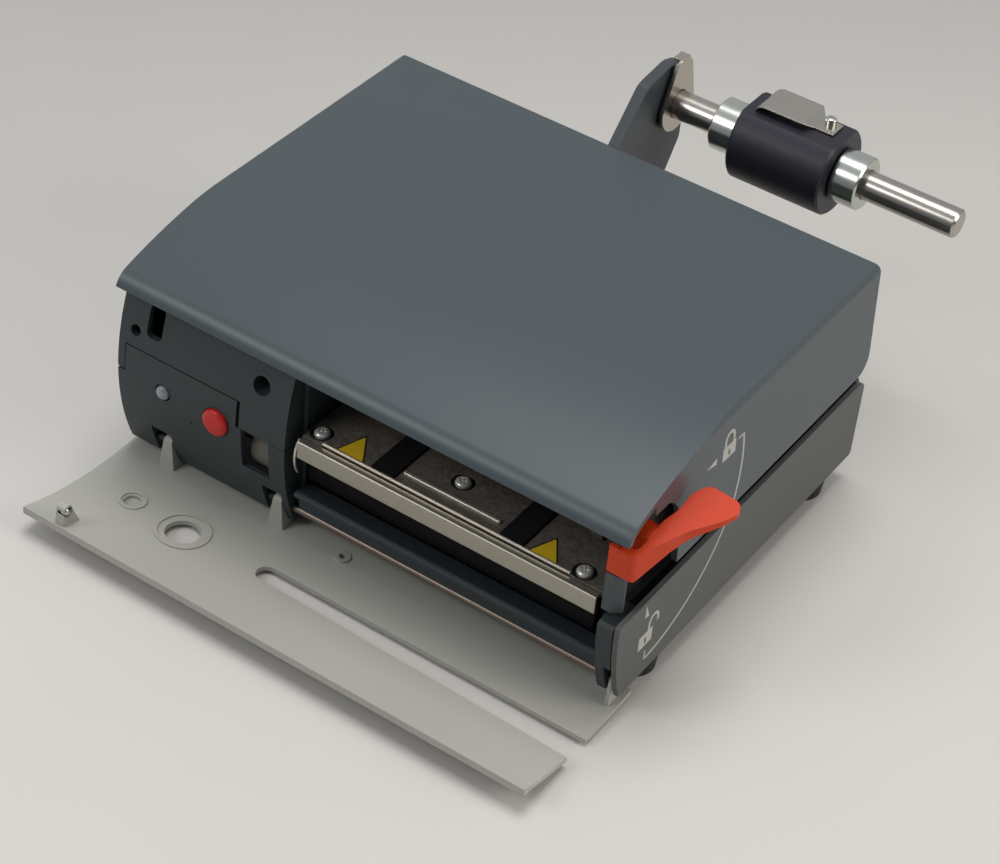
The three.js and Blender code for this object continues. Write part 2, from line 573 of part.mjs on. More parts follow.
function makeFlap() {
  const { left, right, top, bottom, thickness } = flap;
  const deep = 12 * thickness;
  const sheet = flapPlate(bottom, top, thickness, left, right);
  const lip = flapPlate(top - flap.lipHeight, top, thickness + flap.lip, left, right);
  const slotEnd = (flap.slotHigh - flap.slotLow) / 2;
  const slot = prismY([
    ...arc(flap.slotLeft + slotEnd, flap.slotLow + slotEnd, slotEnd, 90, 270),
    [right + overrun, flap.slotLow], [right + overrun, flap.slotHighRight]], -deep, deep);
  const raised = frontWall(flap.reach + thickness / 2, bottom, top, thickness / 2 + flap.ringHeight, left,
    right,
    flap.radius, flap.bulgeHeight);
  const bead = (x, z, radius) => common(raised,
    cut(rodY(x, z, radius, -deep, deep), rodY(x, z, radius - flap.ringWidth, -2 * deep, 2 * deep)));
  const boss = rodY(flap.bossX, flap.bossHeight, flap.bossRadius, flapFace(flap.bossHeight) - thickness / 2,
    flapFace(flap.bossHeight) + thickness / 2, 24);
  const face = flapFace(flap.lugHeight);
  const half = flap.lugWidth / 2;
  const lug = prismX([
    [face - thickness / 2, flap.lugHeight - flap.lugDepth / 2], [face + flap.lugLength, flap.lugHeight],
    ...arc(face + flap.lugLength, flap.lugHeight + flap.lugDepth / 4, flap.lugDepth / 4, -90, 90),
    [face - thickness / 2, flap.lugHeight + flap.lugDepth / 2 + overrun]],
    housing.slotX - half, housing.slotX + half);
  const body = join(sheet, lip, lug, boss, ...flapArms().map(makeFlapArm),
    bead(flap.holeX, flap.holeHeight, flap.ringRadius), bead(flap.lensX, lightPipe.height, flap.lensRing));
  return cut(body, slot,
    rodY(flap.holeX, flap.holeHeight, flap.holeRadius, -deep, deep),
    rodY(flap.lensX, lightPipe.height, flap.lensRadius, flapFace(lightPipe.height) - flap.lensDepth, deep),
    rodY(flap.bossX, flap.bossHeight, flap.bossHole, -deep, deep, 16),
    rodX(ballY(), ballZ(), flap.ballRadius + gap, housing.slotX - 2 * flap.ballTravel + gap,
      housing.slotX + half + overrun, 20));
}
const ballY = () => flapFace(flap.lugHeight) + flap.lugLength - flap.ballRadius / 2;
const ballZ = () => flap.lugHeight + flap.lugDepth / 4;

// A pivot group that turns what is drawn closed about the flap's hinge
function opened(mesh) {
  mesh.geometry.translate(0, -flap.hingeY, -flap.hingeZ);
  const pivot = new THREE.Group();
  pivot.position.set(0, flap.hingeY, flap.hingeZ);
  pivot.rotation.x = THREE.MathUtils.degToRad(flap.openAngle);
  pivot.add(mesh);
  printer.add(pivot);
}
opened(toMesh('front_flap', makeFlap(), finishes.flapGrey));

// The sprung ball in the flap's catch lug
const ballBack = housing.slotX - flap.ballTravel + 2 * gap;
opened(toMesh('catch_ball', turned([
  [0, 0], [flap.ballRadius * 0.9, 0], [flap.ballRadius, flap.ballRadius * 0.4],
  [flap.ballRadius * 0.98, flap.ballRadius * 0.7], [flap.ballRadius * 0.8, flap.ballRadius],
  [flap.ballRadius * 0.45, flap.ballRadius * 1.25], [0, flap.ballRadius * 1.35]],
  latheX(ballBack, ballY(), ballZ()), 12), finishes.steel));
add('flap_hinge_rod', rodX(flap.hingeY, flap.hingeZ, flap.rodRadius, housing.left + wall + gap,
  panelInner - gap, 20), finishes.steel);

// Right side: outer panel, inner frame plate and the post for the lever
function makeSidePanel() {
  const plate = prismX(sideOutline(frontBulge), panelInner, bodyWidth);
  const pads = side.padShares.map(([y, z]) => rodX(y * bodyDepth, z * lowerHeight, 2 * side.panel,
    plateRight + gap - side.plateFront / 2, panelInner + gap, 20));
  return cut(join(plate, ...pads),
    rodX(flap.hingeY, flap.hingeZ, flap.rodRadius + gap, 0, panelInner, 20));
}
add('lower_side_panel', makeSidePanel(), finishes.sideGrey);

function makeRightPlate() {
  const webLeft = plateRight - side.plateFront / 2 - side.plateWeb;
  const webRight = webLeft + side.plateWeb;
  const front = cut(
    prismX([...frontLine(frontBulge - overrun, side.plateBottom, side.plateTop - side.bevel),
      [-frontBulge + overrun + side.bevel, side.plateTop], [side.frontDepth, side.plateTop],
      [side.frontDepth, side.plateBottom + side.bevel], [side.frontDepth / 2, side.plateBottom]],
      plateLeft, plateRight),
    block(plateRight - side.notchWidth, plateRight + overrun, -3 * frontBulge,
      flap.hingeY + flap.eyeRadius + 2 * gap, side.plateBottom - overrun, side.notchHigh));
  const web = prismX([[0, 0], [bodyDepth - 3 * wall, 0], [bodyDepth - 3 * wall, side.plateTop],
    [head.pivotY + side.earWidth / 2, side.plateTop], [head.pivotY + side.earWidth / 2,
    side.earTop - side.bevel],
    [head.pivotY + side.earWidth / 2 - side.bevel, side.earTop],
    [head.pivotY - side.earWidth / 2 + side.bevel, side.earTop],
    [head.pivotY - side.earWidth / 2, side.earTop - side.bevel],
    [head.pivotY - side.earWidth / 2, side.plateTop],
    [0, side.plateTop]], webLeft, webRight);
  const bearing = rodX(platen.y, platen.z, 2.4 * platen.shaftRadius, webLeft - side.plateWeb / 2, plateRight,
    32);
  return cut(join(front, web, bearing),
    rodX(platen.y, platen.z, platen.shaftRadius + gap, plateLeft - 2 * side.plateWeb, plateRight + overrun,
    32),
    rodX(head.pivotY, head.pivotZ, head.pivotRadius + gap, plateLeft - 2 * side.plateWeb, plateRight, 24),
    rodX(flap.hingeY, flap.hingeZ, flap.rodRadius + gap, plateLeft - 2 * side.plateWeb, plateRight + overrun,
    20));
}
add('right_frame_plate', makeRightPlate(), finishes.panel);

// Gears: outline of one gear with a tooth centred on its phase angle
function gearOutline(y, z, teeth, phase) {
  const pitch = (gears.module * teeth) / 2;
  const tip = pitch + gears.module * gears.addendumShare;
  const root = pitch - gears.module * gears.dedendumShare;
  const step = (2 * halfTurn) / teeth;
  const half = (share) => share * step;
  return Array.from({ length: teeth }, (_, i) => {
    const middle = phase + i * step;
    const point = (radius, angle) => [y + radius * Math.cos(angle), z + radius * Math.sin(angle)];
    return [
      point(root, middle - half(gears.rootShare)), point(tip, middle - half(gears.tipShare)),
      point(tip, middle + half(gears.tipShare)), point(root, middle + half(gears.rootShare))];
  }).flat();
}

const centreDistance = (first, second) => (gears.module * (first + second)) / 2 + gears.backlash;

// The place of a gear that meshes with another one in a given direction
function meshed(from, teeth, direction) {
  const distance = centreDistance(from.teeth, teeth);
  const fromStep = (2 * halfTurn) / from.teeth;
  const share = (direction - from.phase) / fromStep;
  const phase = direction + halfTurn - (0.5 - share) * ((2 * halfTurn) / teeth);
  return {
    y: from.y + distance * Math.cos(direction), z: from.z + distance * Math.sin(direction), teeth, phase,
  };
}

// The gears that take the lever's turn back to the cam shaft
const leverGear = { y: lever.pivotY, z: lever.pivotZ, teeth: lever.gearTeeth, phase: 0 };
const camGear = meshed(leverGear, lever.gearTeeth, 0);

// Post: a front plate under the lever's cap, and a web with the bearings of both shafts
function makePost() {
  const { left, right, sheet, depth, chamfer, bottom, headRadius, camRadius, footHeight, footFront } = post;
  const front = lever.capFront + gap;
  const shoulder = lever.capBottom - gap;
  const plate = prismZ([[left, front], [right - chamfer, front], [right, front + chamfer],
    [right, front + depth],
    [left, front + depth]], bottom, shoulder);
  const y = lever.pivotY;
  const z = lever.pivotZ;
  const web = prismX([[front + overrun, bottom], [front + overrun, shoulder], [front + depth, shoulder],
    [y - headRadius, z], [y, z + headRadius], [camGear.y, z + camRadius], [camGear.y + camRadius, z],
    [camGear.y + camRadius, post.throat], [post.footRear, footHeight], [footFront, footHeight],
    [footFront, bottom]], left, left + sheet);
  const bearing = (place, radius) => rodX(place.y, place.z, radius, left, left + sheet, 32);
  const bore = (place) => rodX(place.y, place.z, lever.shaftRadius + gap, left - overrun,
    left + sheet + overrun, 24);
  return cut(join(plate, web, bearing(leverGear, headRadius), bearing(camGear, camRadius)),
    bore(leverGear), bore(camGear));
}
add('lever_post', makePost(), finishes.panel);

// Head lever: cap, hub and handle outside, and inside a stub shaft with a toothed sector
function makeLever() {
  const { pivotY: y, pivotZ: z, capFront, capDepth, capBottom, capTop, capBevel, hubLeft, hubRadius } = lever;
  const hubRight = bodyWidth + handle.front;
  const cap = prismX(rounded(capFront, capFront + capDepth, capBottom, capTop, capBevel), lever.capLeft,
    lever.capRight);
  const cheek = prismX([[capFront + capDepth / 2, capBottom + capBevel],
    [capFront + capDepth / 2, capTop - capBevel],
    [y, z + hubRadius], [y, z - hubRadius]], hubLeft, hubRight);
  const hub = rodX(y, z, hubRadius, hubLeft, hubRight, 40);
  const stub = rodX(y, z, lever.shaftRadius, lever.gearLeft - gap, hubLeft + overrun, 24);
  return join(cap, cheek, hub, stub, makeSector(), makeHandle());
}

// The part of a gear that stays in mesh over the lever's turn, on a collar
function makeSector() {
  const { pivotY: y, pivotZ: z, gearLeft: from, gearWidth, gearTeeth, sectorLow, sectorHigh,
    collarRadius } = lever;
  const to = from + gearWidth;
  const reach = gears.module * gearTeeth;
  const slice = prismX([[y, z], ...arc(y, z, reach, sectorLow, sectorHigh)], from - overrun, to + overrun);
  const teeth = common(prismX(gearOutline(y, z, gearTeeth, leverGear.phase), from, to), slice);
  return join(teeth, rodX(y, z, collarRadius, from, to, 28));
}

// The handle: a slab in plan that flares outwards to a rounded tip, over a wedge
function makeHandle() {
  const { inner, front, flareX, flareY, wideX, wideY, tipX, tipY, tipRadius, backX, backY, sideY } = handle;
  const start = lever.capFront;
  const top = (y) => handle.topHeight + handle.riseShare * y;
  const plan = [[inner, start], [front, start], [flareX, flareY], [wideX, wideY],
    ...arc(tipX, tipY, tipRadius, -30, 80, 36), [backX, backY], [inner, sideY]];
  const slab = prismZ(plan.map(([x, y]) => [bodyWidth + x, y]), lever.capBottom - overrun, lidHeight);
  const wedge = prismX([[start, lever.capBottom], [handle.wedgeY, handle.wedgeZ],
    [handle.thinY, handle.thinZ],
    [handle.rearY, handle.rearZ], [handle.rearY, top(handle.rearY)], [start, top(start)]],
    bodyWidth, bodyWidth + tipX + 2 * tipRadius);
  return common(slab, wedge);
}
add('lever_grip', makeLever(), finishes.orange);

// The cam shaft: one turned shaft with a gear and the two cams that press the head down
function makeCam(x) {
  const { lobe, radius, tip, width } = cam;
  return prismX([...arc(camGear.y, camGear.z, radius, 0, 180, 32),
    ...arc(camGear.y, camGear.z - lobe + tip, tip, 180, 360, 32)], x - width / 2, x + width / 2);
}
const padCentres = { left: head.padLeft + head.padWidth / 2, right: head.padRight + head.padWidth / 2 };
add('head_cam_shaft', join(
  rodX(camGear.y, camGear.z, cam.shaftRadius, centre.left - gap, cam.shaftEnd, 24),
  prismX(gearOutline(camGear.y, camGear.z, camGear.teeth, camGear.phase), lever.gearLeft,
    lever.gearLeft + lever.gearWidth),
  ...Object.values(padCentres).map(makeCam)), finishes.steel);

// Printhead group: plate on a rear pivot, strip on the front, heat block under it, black tappets
function makeHeadPlate() {
  const bottom = head.plateTop - head.plateThickness;
  const plate = block(head.left, head.right, head.front, head.pivotY, bottom, head.plateTop);
  const barrels = [head.left, head.right - 2 * head.barrel].map((x) =>
    rodX(head.pivotY, head.pivotZ, head.barrel, x, x + 2 * head.barrel, 28));
  const room = block(head.left + 2 * head.barrel, head.right - 2 * head.barrel, head.pivotY - head.barrel,
    head.pivotY + head.barrel, 0, lidHeight);
  const recesses = screwPlaces.map(({ x, y }) =>
    rodZ(x, y, head.recessRadius, head.plateTop - head.recessDepth, head.plateTop + overrun, 28));
  const seats = Object.values(padCentres).map((x) => block(x - head.padWidth / 2 - gap,
    x + head.padWidth / 2 + gap,
    head.padFront - gap, head.padRear + gap, head.plateTop - head.padSheet, lidHeight));
  const rib = rodX(head.ribY, head.plateTop, head.ribRadius, head.ribLeft, head.ribRight, 12);
  const ridge = block(head.ridgeLeft, head.ridgeRight, head.front, head.front + head.stripSheet,
    head.plateTop - overrun, head.plateTop + head.ridgeHeight);
  const body = cut(join(cut(join(plate, ...barrels), room), rib, ridge), ...recesses, ...seats,
    rodX(head.pivotY, head.pivotZ, head.pivotRadius + gap, head.left - overrun, head.right + overrun, 24));
  return join(body, ...screwPlaces.map(makeHeadScrew));
}

// One of the screws that hold the heat block under the plate
function makeHeadScrew({ x, y }) {
  const seat = head.plateTop - head.recessDepth;
  const end = head.plateTop - head.plateThickness - head.screwHeight;
  const r = head.screwRadius;
  return turned([
    [0, end], [r / 2, end], [r / 2, seat - overrun], [r, seat - overrun], [r, seat + head.screwHeight * 0.45],
    [r * 0.8, seat + head.screwHeight * 0.85], [r * 0.4, seat + head.screwHeight],
    [0, seat + head.screwHeight]],
  latheUp(x, y, 0), 14);
}
add('head_plate', makeHeadPlate(), finishes.castGrey);

function makeStrip() {
  const { stripFront: y, stripSheet: t, stripBottom, stripTop, foldDepth } = head;
  const bottom = stripBottom;
  const outline = [[y, bottom], [y + t, bottom], [y + t, stripTop - t], [y + foldDepth, stripTop - t],
    [y + foldDepth, stripTop], [y + t / 2, stripTop], [y, stripTop - t / 2]];
  const hook = prismX([[y, bottom], [y + t, bottom], ...arc(y + 4 * t, bottom - 2 * t, 3 * t, 180, 235),
    ...arc(y + 4 * t, bottom - 2 * t, 4 * t, 235, 180)], head.left, head.left + 2 * t);
  return join(prismX(outline, head.left, head.right - t), hook);
}
add('head_front_strip', makeStrip(), finishes.steel);

function makeBlock() {
  const top = head.plateTop - head.plateThickness - gap;
  const line = platen.z + platen.radius + gap;
  const body = prismX([
    [head.blockFront, head.blockBottom + overrun], [head.blockFront + overrun, head.blockBottom],
    [platen.y - 2 * head.lineHalf, head.blockBottom], [platen.y - head.lineHalf, line],
    [platen.y + head.lineHalf, line], [platen.y + 2 * head.lineHalf, head.blockBottom],
    [head.blockRear, head.blockBottom], [head.blockRear, top], [head.blockFront, top]],
    head.left + 2 * wall, head.right - 2 * wall);
  const fins = Array.from({ length: 3 }, (_, i) => {
    const y = head.blockRear - (i + 1) * 2.6 * overrun;
    return block(head.left, head.right, y - overrun / 2, y + overrun / 2, top - 3 * overrun, top + overrun);
  });
  const screwRoom = screwPlaces.map(({ x, y }) => rodZ(x, y, head.screwRadius / 2 + gap,
    top - head.screwHeight - gap, top + overrun, 20));
  return cut(body, ...fins, ...screwRoom);
}
add('thermal_printhead', makeBlock(), finishes.zinc);

for (const [name, x] of Object.entries(padCentres)) {
  const low = head.plateTop - head.padSheet + gap;
  add(`head_tappet_${name}`, join(
    block(x - head.padWidth / 2, x + head.padWidth / 2, head.padFront, head.padRear, low,
    head.plateTop + head.padSheet),
    block(x - head.padWidth / 3, x + head.padWidth / 3, head.tappetFront, head.tappetRear, low,
    head.tappetTop)),
    finishes.black);
}
add('head_pivot_shaft', rodX(head.pivotY, head.pivotZ, head.pivotRadius, centre.left - gap,
  plateRight - side.plateFront / 2 + gap, 24), finishes.steel);

// Platen roller
add('platen_shaft', rodX(platen.y, platen.z, platen.shaftRadius, thumb.left - 4 * wall, platen.shaftEnd, 24),
  finishes.steel);
add('platen_roller', cut(
  rodX(platen.y, platen.z, platen.radius, platen.left, platen.right, 48),
  rodX(platen.y, platen.z, platen.shaftRadius + gap, 0, bodyWidth, 24)), finishes.rubber);

function makeThumbwheel() {
  const points = Array.from({ length: 2 * thumb.grips }, (_, i) => {
    const radius = thumb.radius - (i % 2 ? thumb.gripDepth : 0);
    const angle = ((i + thumb.gripShare) * halfTurn) / thumb.grips;
    return [platen.y + radius * Math.cos(angle), platen.z + radius * Math.sin(angle)];
  });
  return cut(prismX(points, thumb.left, thumb.left + thumb.width),
    rodX(platen.y, platen.z, platen.shaftRadius + gap, 0, bodyWidth, 24));
}
add('thumbwheel', makeThumbwheel(), finishes.sideGrey);

function makeGear(place, bore) {
  const { y, z, teeth, phase } = place;
  const from = gears.left;
  const to = from + gears.width;
  const rim = (gears.module * teeth * gears.rimShare) / 2;
  const bodyOfGear = prismX(gearOutline(y, z, teeth, phase), from, to);
  const tools = [rodX(y, z, bore, from - overrun, to + overrun, 24)];
  if (rim > gears.hubRadius + 2 * overrun) {
    tools.push(cut(
      rodX(y, z, rim, to - gears.width * gears.webShare, to + overrun, 32),
      rodX(y, z, gears.hubRadius + overrun, from, to + 2 * overrun, 24)));
  }
  return cut(bodyOfGear, ...tools);
}

// The direction from one gear to a third that also reaches a fixed centre
function directionTo(from, teeth, target, targetTeeth) {
  const near = centreDistance(from.teeth, teeth);
  const far = centreDistance(teeth, targetTeeth);
  const across = Math.hypot(target.y - from.y, target.z - from.z);
  const straight = Math.atan2(target.z - from.z, target.y - from.y);
  return straight + Math.acos(Math.min(1, (near ** 2 + across ** 2 - far ** 2) / (2 * near * across)));
}

const platenGear = { y: platen.y, z: platen.z, teeth: gears.platenTeeth, phase: 0 };
const idlerDirection = THREE.MathUtils.degToRad(gears.idlerAngle);
const idler = meshed(platenGear, gears.idlerTeeth, idlerDirection);
const pinion = meshed(idler, gears.pinionTeeth, 0);
const takeupCentre = { y: ribbon.takeupY, z: ribbon.takeupZ };
const upper = meshed(pinion, gears.upperTeeth,
  directionTo(pinion, gears.upperTeeth, takeupCentre, gears.takeupTeeth));
const takeup = meshed(upper, gears.takeupTeeth,
  Math.atan2(takeupCentre.z - upper.z, takeupCentre.y - upper.y));

add('platen_gear', makeGear(platenGear, platen.shaftRadius + gap), finishes.nylon);
add('idler_gear', makeGear(idler, gears.axleRadius + gap), finishes.nylon);
add('motor_pinion', join(makeGear(pinion, motor.shaft), rodX(pinion.y, pinion.z, motor.shaft + gap / 2,
  motor.front - motor.shaftDepth, gears.left + gears.width, 20)), finishes.zinc);
add('upper_idler_gear', makeGear(upper, gears.axleRadius + gap), finishes.nylon);
add('takeup_gear', makeGear(takeup, ribbon.spindle + gap), finishes.nylon);

// Stepper motor, with its shaft, flange boss and end caps
function makeMotor() {
  const half = motor.size / 2;
  const face = motor.front - motor.bossHeight;
  const can = prismX(rounded(pinion.y - half, pinion.y + half, pinion.z - half, pinion.z + half,
    motor.corner),
    face - motor.length, face);
  const grooves = [1, 2].map((i) => cut(
    block(face - (i * motor.length) / 3 - overrun / 2, face - (i * motor.length) / 3 + overrun / 2,
      pinion.y - motor.size, pinion.y + motor.size, pinion.z - motor.size, pinion.z + motor.size),
    rodX(pinion.y, pinion.z, half + overrun, 0, bodyWidth, 24)));
  return cut(join(cut(can, ...grooves), rodX(pinion.y, pinion.z, motor.boss, face - overrun, motor.front,
    32)),
    rodX(pinion.y, pinion.z, motor.shaft + 2 * gap, motor.front - motor.shaftDepth - gap, bodyWidth, 20));
}
add('stepper_motor', makeMotor(), finishes.black);

// Centre plate: the steel sheet that carries the shafts, with its motor wing
function makeCentrePlate() {
  const { left, thickness, front, rear, top, frontTop, slopeEnd } = centre;
  const sheet = prismX([[front, floorTop + gap], [front, frontTop], [slopeEnd, top], [rear, top],
    [rear, floorTop + gap]], left, left + thickness);
  const hole = (y, z, radius) => rodX(y, z, radius + gap, left - overrun, left + thickness + overrun, 28);
  const axles = [idler, upper].map((place) => rodX(place.y, place.z, gears.axleRadius, gears.left - overrun,
    innerRight, 20));
  return cut(join(sheet, ...axles), hole(platen.y, platen.z, platen.shaftRadius),
    hole(head.pivotY, head.pivotZ, head.pivotRadius), hole(camGear.y, camGear.z, cam.shaftRadius),
    hole(ribbon.takeupY, ribbon.takeupZ, ribbon.spindle),
    ...centre.holeShares.map(([y, z]) => hole(y * bodyDepth, z * top, centre.holeRadius)));
}
add('centre_plate', makeCentrePlate(), finishes.zinc);

// Ribbon hubs: ribbed tubes with a flange at the plate
function makeHub(y, z, from) {
  const barrel = rodX(y, z, ribbon.radius - ribbon.ribHeight, from, from + ribbon.length, 28);
  const flange = rodX(y, z, ribbon.flange, from, from + ribbon.flangeWidth, 28);
  const ribs = Array.from({ length: ribbon.ribs }, (_, i) => {
    const geometry = new THREE.BoxGeometry(ribbon.length, 2 * ribbon.radius, ribbon.ribWidth)
      .applyMatrix4(new THREE.Matrix4().makeRotationX((i * halfTurn) / ribbon.ribs))
      .translate(from + ribbon.length / 2, y, z);
    return solid(geometry);
  });
  return cut(join(barrel, flange, ...ribs),
    rodX(y, z, ribbon.bore, from - overrun, from + ribbon.length + overrun, 24));
}
add('ribbon_supply_hub', makeHub(ribbon.supplyY, ribbon.supplyZ, ribbon.left), finishes.black);
add('ribbon_takeup_hub', makeHub(ribbon.takeupY, ribbon.takeupZ, ribbon.left), finishes.black);
add('supply_spindle', join(
  rodX(ribbon.supplyY, ribbon.supplyZ, ribbon.spindle, innerRight + gap, ribbon.left + ribbon.length + wall,
  24),
  rodX(ribbon.supplyY, ribbon.supplyZ, 2 * ribbon.spindle, innerRight + gap, ribbon.left - gap, 24)),
  finishes.steel);
add('takeup_spindle', rodX(ribbon.takeupY, ribbon.takeupZ, ribbon.spindle, gears.left,
  ribbon.left + ribbon.length + wall, 24), finishes.steel);

// Media path: guide plate, fixed and sliding edge guides, gap sensor
function makeGuide() {
  const low = guide.top - guide.thickness;
  const plate = block(guide.left, guide.right, guide.front, guide.rear, low, guide.top);
  const frontFold = block(guide.left, guide.right, guide.front, guide.front + guide.thickness,
    low - guide.lip, guide.top);
  const legs = [guide.left + wall, guide.right - 2 * wall].map((x) =>
    block(x, x + guide.thickness, guide.front + guide.legFront, guide.rear - guide.legRear, floorTop + gap,
      low + overrun / 2));
  const slot = block(guide.left + 6 * wall, guide.right - 4 * wall,
    guide.rear - guide.slotInset - guide.slotWidth,
    guide.rear - guide.slotInset, 0, lowerHeight);
  const window = block(sensor.x - sensor.width / 2 - gap, sensor.x + sensor.width / 2 + gap,
    sensor.y - sensor.depth / 2 - gap, sensor.y + sensor.depth / 2 + gap, 0, lowerHeight);
  return cut(join(plate, frontFold, ...legs), slot, window);
}
add('media_guide_plate', makeGuide(), finishes.zinc);

function makeFence(x) {
  const { fenceWidth: wide, footInset, top } = guide;
  const rear = guide.rear - guide.fenceInset;
  const front = rear - guide.fenceLength;
  return join(
    block(x, x + wide, front, rear, top + gap, top + guide.fence),
    block(x - 2 * wide, x + 3 * wide, front + footInset, rear - footInset, top + gap, top + guide.thickness));
}
add('fixed_edge_guide', makeFence(guide.left + 3 * guide.fenceWidth), finishes.black);
add('sliding_edge_guide', makeFence(guide.right - 5 * guide.fenceWidth), finishes.black);
add('media_sensor', cut(
  block(sensor.x - sensor.width / 2, sensor.x + sensor.width / 2, sensor.y - sensor.depth / 2,
    sensor.y + sensor.depth / 2, guide.top - sensor.height, guide.top - gap),
  block(sensor.x - sensor.width, sensor.x + sensor.width, sensor.y - sensor.slot / 2,
  sensor.y + sensor.slot / 2,
    guide.top - sensor.slot, guide.top)), finishes.black);

// Front cross bar of the bay, over the flap's rod
function makeBar() {
  const profile = [[bar.rear, bar.bottom], [bar.rear, bar.top - 2 * overrun],
    [bar.rear - overrun, bar.top - overrun],
    [bar.front + 2 * overrun, bar.top], [bar.front, bar.top - 1.5 * overrun],
    [bar.front, bar.top - 5 * overrun],
    [bar.front + 2.4 * overrun, bar.top - 7 * overrun], [bar.front + 4 * overrun, bar.bottom]];
  return prismX(profile, bar.left, bar.right);
}
add('front_cross_bar', makeBar(), finishes.panel);

// Control board behind the left wall, with its taller parts
function makeBoard() {
  const { left, thickness, front, rear, low, high } = board;
  const card = block(left, left + thickness, front, rear, low, high);
  const along = (share) => front + share * (rear - front);
  const up = (share) => low + share * (high - low);
  const chips = board.chipShares.map(([y, z, size]) => block(left + thickness / 2,
    left + thickness + board.chip,
    along(y), along(y) + size * (high - low), up(z), up(z + size)));
  const capacitors = board.capShares.map(([y, z]) => rodX(along(y), up(z), board.capRadius,
    left + thickness / 2,
    left + thickness + board.capLength, 20));
  return join(card, ...chips, ...capacitors);
}
add('control_board', makeBoard(), finishes.boardGreen);

// Rear sockets: power inlet, rocker switch, data sockets
function socketShell(place, rim, floor) {
  const rear = bodyDepth + gap;
  const { left, width, low, height, depth } = place;
  const body = block(left + gap, left + width - gap, rear - depth, rear + overrun, low + gap,
    low + height - gap);
  const flange = block(left - rim, left + width + rim, rear, rear + overrun, low - rim, low + height + rim);
  const room = block(left + gap + rim, left + width - gap - rim, rear - depth + floor, rear + 2 * overrun,
    low + gap + rim, low + height - gap - rim);
  return cut(join(body, flange), room);
}

function makeInlet() {
  const pins = [-1, 0, 1].map((i) => rodY(inlet.left + inlet.width / 2 + i * inlet.width / 4,
    inlet.low + inlet.height / 2 + (i ? 0 : inlet.rim), inlet.pin, bodyDepth - inlet.depth + inlet.rim / 2,
    bodyDepth - inlet.depth + inlet.rim + inlet.pinLength, 16));
  return join(socketShell(inlet, inlet.rim, inlet.rim), ...pins);
}
add('power_inlet', makeInlet(), finishes.black);
add('switch_frame', socketShell(rocker, rocker.rim, rocker.rim), finishes.black);

function makeRocker() {
  const middle = rocker.low + rocker.height / 2;
  const half = rocker.height / 2 - rocker.rim - 4 * gap;
  const rear = bodyDepth + gap + overrun;
  const x = rocker.left + rocker.rim + 3 * gap;
  const tilt = THREE.MathUtils.degToRad(rocker.tilt / 2);
  const axis = rear - rocker.proud;
  const profile = [[axis - rocker.proud, middle - half * 0.6], [rear - rocker.proud / 2, middle - half],
    [rear + rocker.proud / 2, middle - half], [rear + gap, middle], [rear + rocker.proud / 2, middle + half],
    [rear - rocker.proud / 2, middle + half], [axis - rocker.proud, middle + half * 0.6]]
    .map(([y, z]) => [
      axis + (y - axis) * Math.cos(tilt) - (z - middle) * Math.sin(tilt),
      middle + (y - axis) * Math.sin(tilt) + (z - middle) * Math.cos(tilt)]);
  return prismX(profile, x, x + rocker.width - 2 * rocker.rim - 6 * gap);
}
add('switch_rocker', makeRocker(), finishes.black);
add('usb_socket', join(socketShell(usb, usb.sheet, usb.sheet), block(usb.left + usb.width / 3,
  usb.left + (2 * usb.width) / 3, bodyDepth - usb.depth + usb.sheet / 2, bodyDepth - usb.depth / 3,
  usb.low + usb.height / 3, usb.low + (2 * usb.height) / 3)), finishes.zinc);
add('serial_socket', join(socketShell(serial, serial.rim, serial.rim),
  ...Array.from({ length: serial.pins },
  (_, i) => rodY(serial.left + ((i + 1) * serial.width) / (serial.pins + 1),
    serial.low + serial.height / 2, serial.pinRadius, bodyDepth - serial.depth + serial.rim / 2,
    bodyDepth - serial.depth / 4, 10))), finishes.zinc);

// Rubber feet
const footPlaces = {
  front_left: [foot.insetX, foot.front],
  front_right: [bodyWidth - foot.insetX, foot.front],
  rear_left: [foot.insetX, foot.rear],
  rear_right: [bodyWidth - foot.insetX, foot.rear],
};
for (const [name, [x, y]] of Object.entries(footPlaces)) {
  const top = -floorDrop - gap;
  add(`foot_${name}`, turned([
    [0, top - foot.height + foot.dimpleDepth], [foot.dimple, top - foot.height + foot.dimpleDepth],
    [foot.dimple, top - foot.height], [foot.radius - foot.taper - gap, top - foot.height],
    [foot.radius - foot.taper, top - foot.height + gap], [foot.radius, top - foot.taper], [foot.radius, top],
    [0, top]],
    latheUp(x, y, 0), 18), finishes.rubber);
}

// Unwinder: leaning arm with a foot flange, shaft, hook plate, collars and the core
function makeArm() {
  const { armLeft, armThick, foot: low, top, rear, flangeWidth, flangeThick, flangeTop, shaftY,
    shaftZ } = unwinder;
  const along = (share) => armFront + (rear - armFront) * share;
  const shoulder = top - lid.wall;
  const plate = prismX([[armFront, low], [armFront, lidHeight - lid.wall],
    [along(unwinder.shoulderShare), shoulder],
    [along(unwinder.crestShare), top], [along(unwinder.bowShare), shoulder], [rear, top - 4 * lid.wall],
    [rear, unwinder.tailHeight], [along(unwinder.heelShare), lidHeight - lowerHeight],
    [along(unwinder.toeShare), low + wall], [along(unwinder.toeShare / 2), low]], armLeft,
    armLeft + armThick);
  const flange = prismY(rounded(armLeft - flangeWidth, armLeft + armThick, low, flangeTop, wall),
    armFront, armFront + flangeThick);
  return join(cut(join(plate, flange),
    rodX(shaftY, shaftZ, unwinder.sleeve + gap, armLeft - overrun, armLeft + armThick + overrun, 32)),
  ...armScrewHeights().map(makeArmScrew));
}
const armScrewX = () => unwinder.armLeft - unwinder.flangeWidth / 2;
const armScrewHeights = () => [unwinder.foot + unwinder.screwInset, unwinder.flangeTop - unwinder.screwInset];
add('unwinder_arm', makeArm(), finishes.arm);

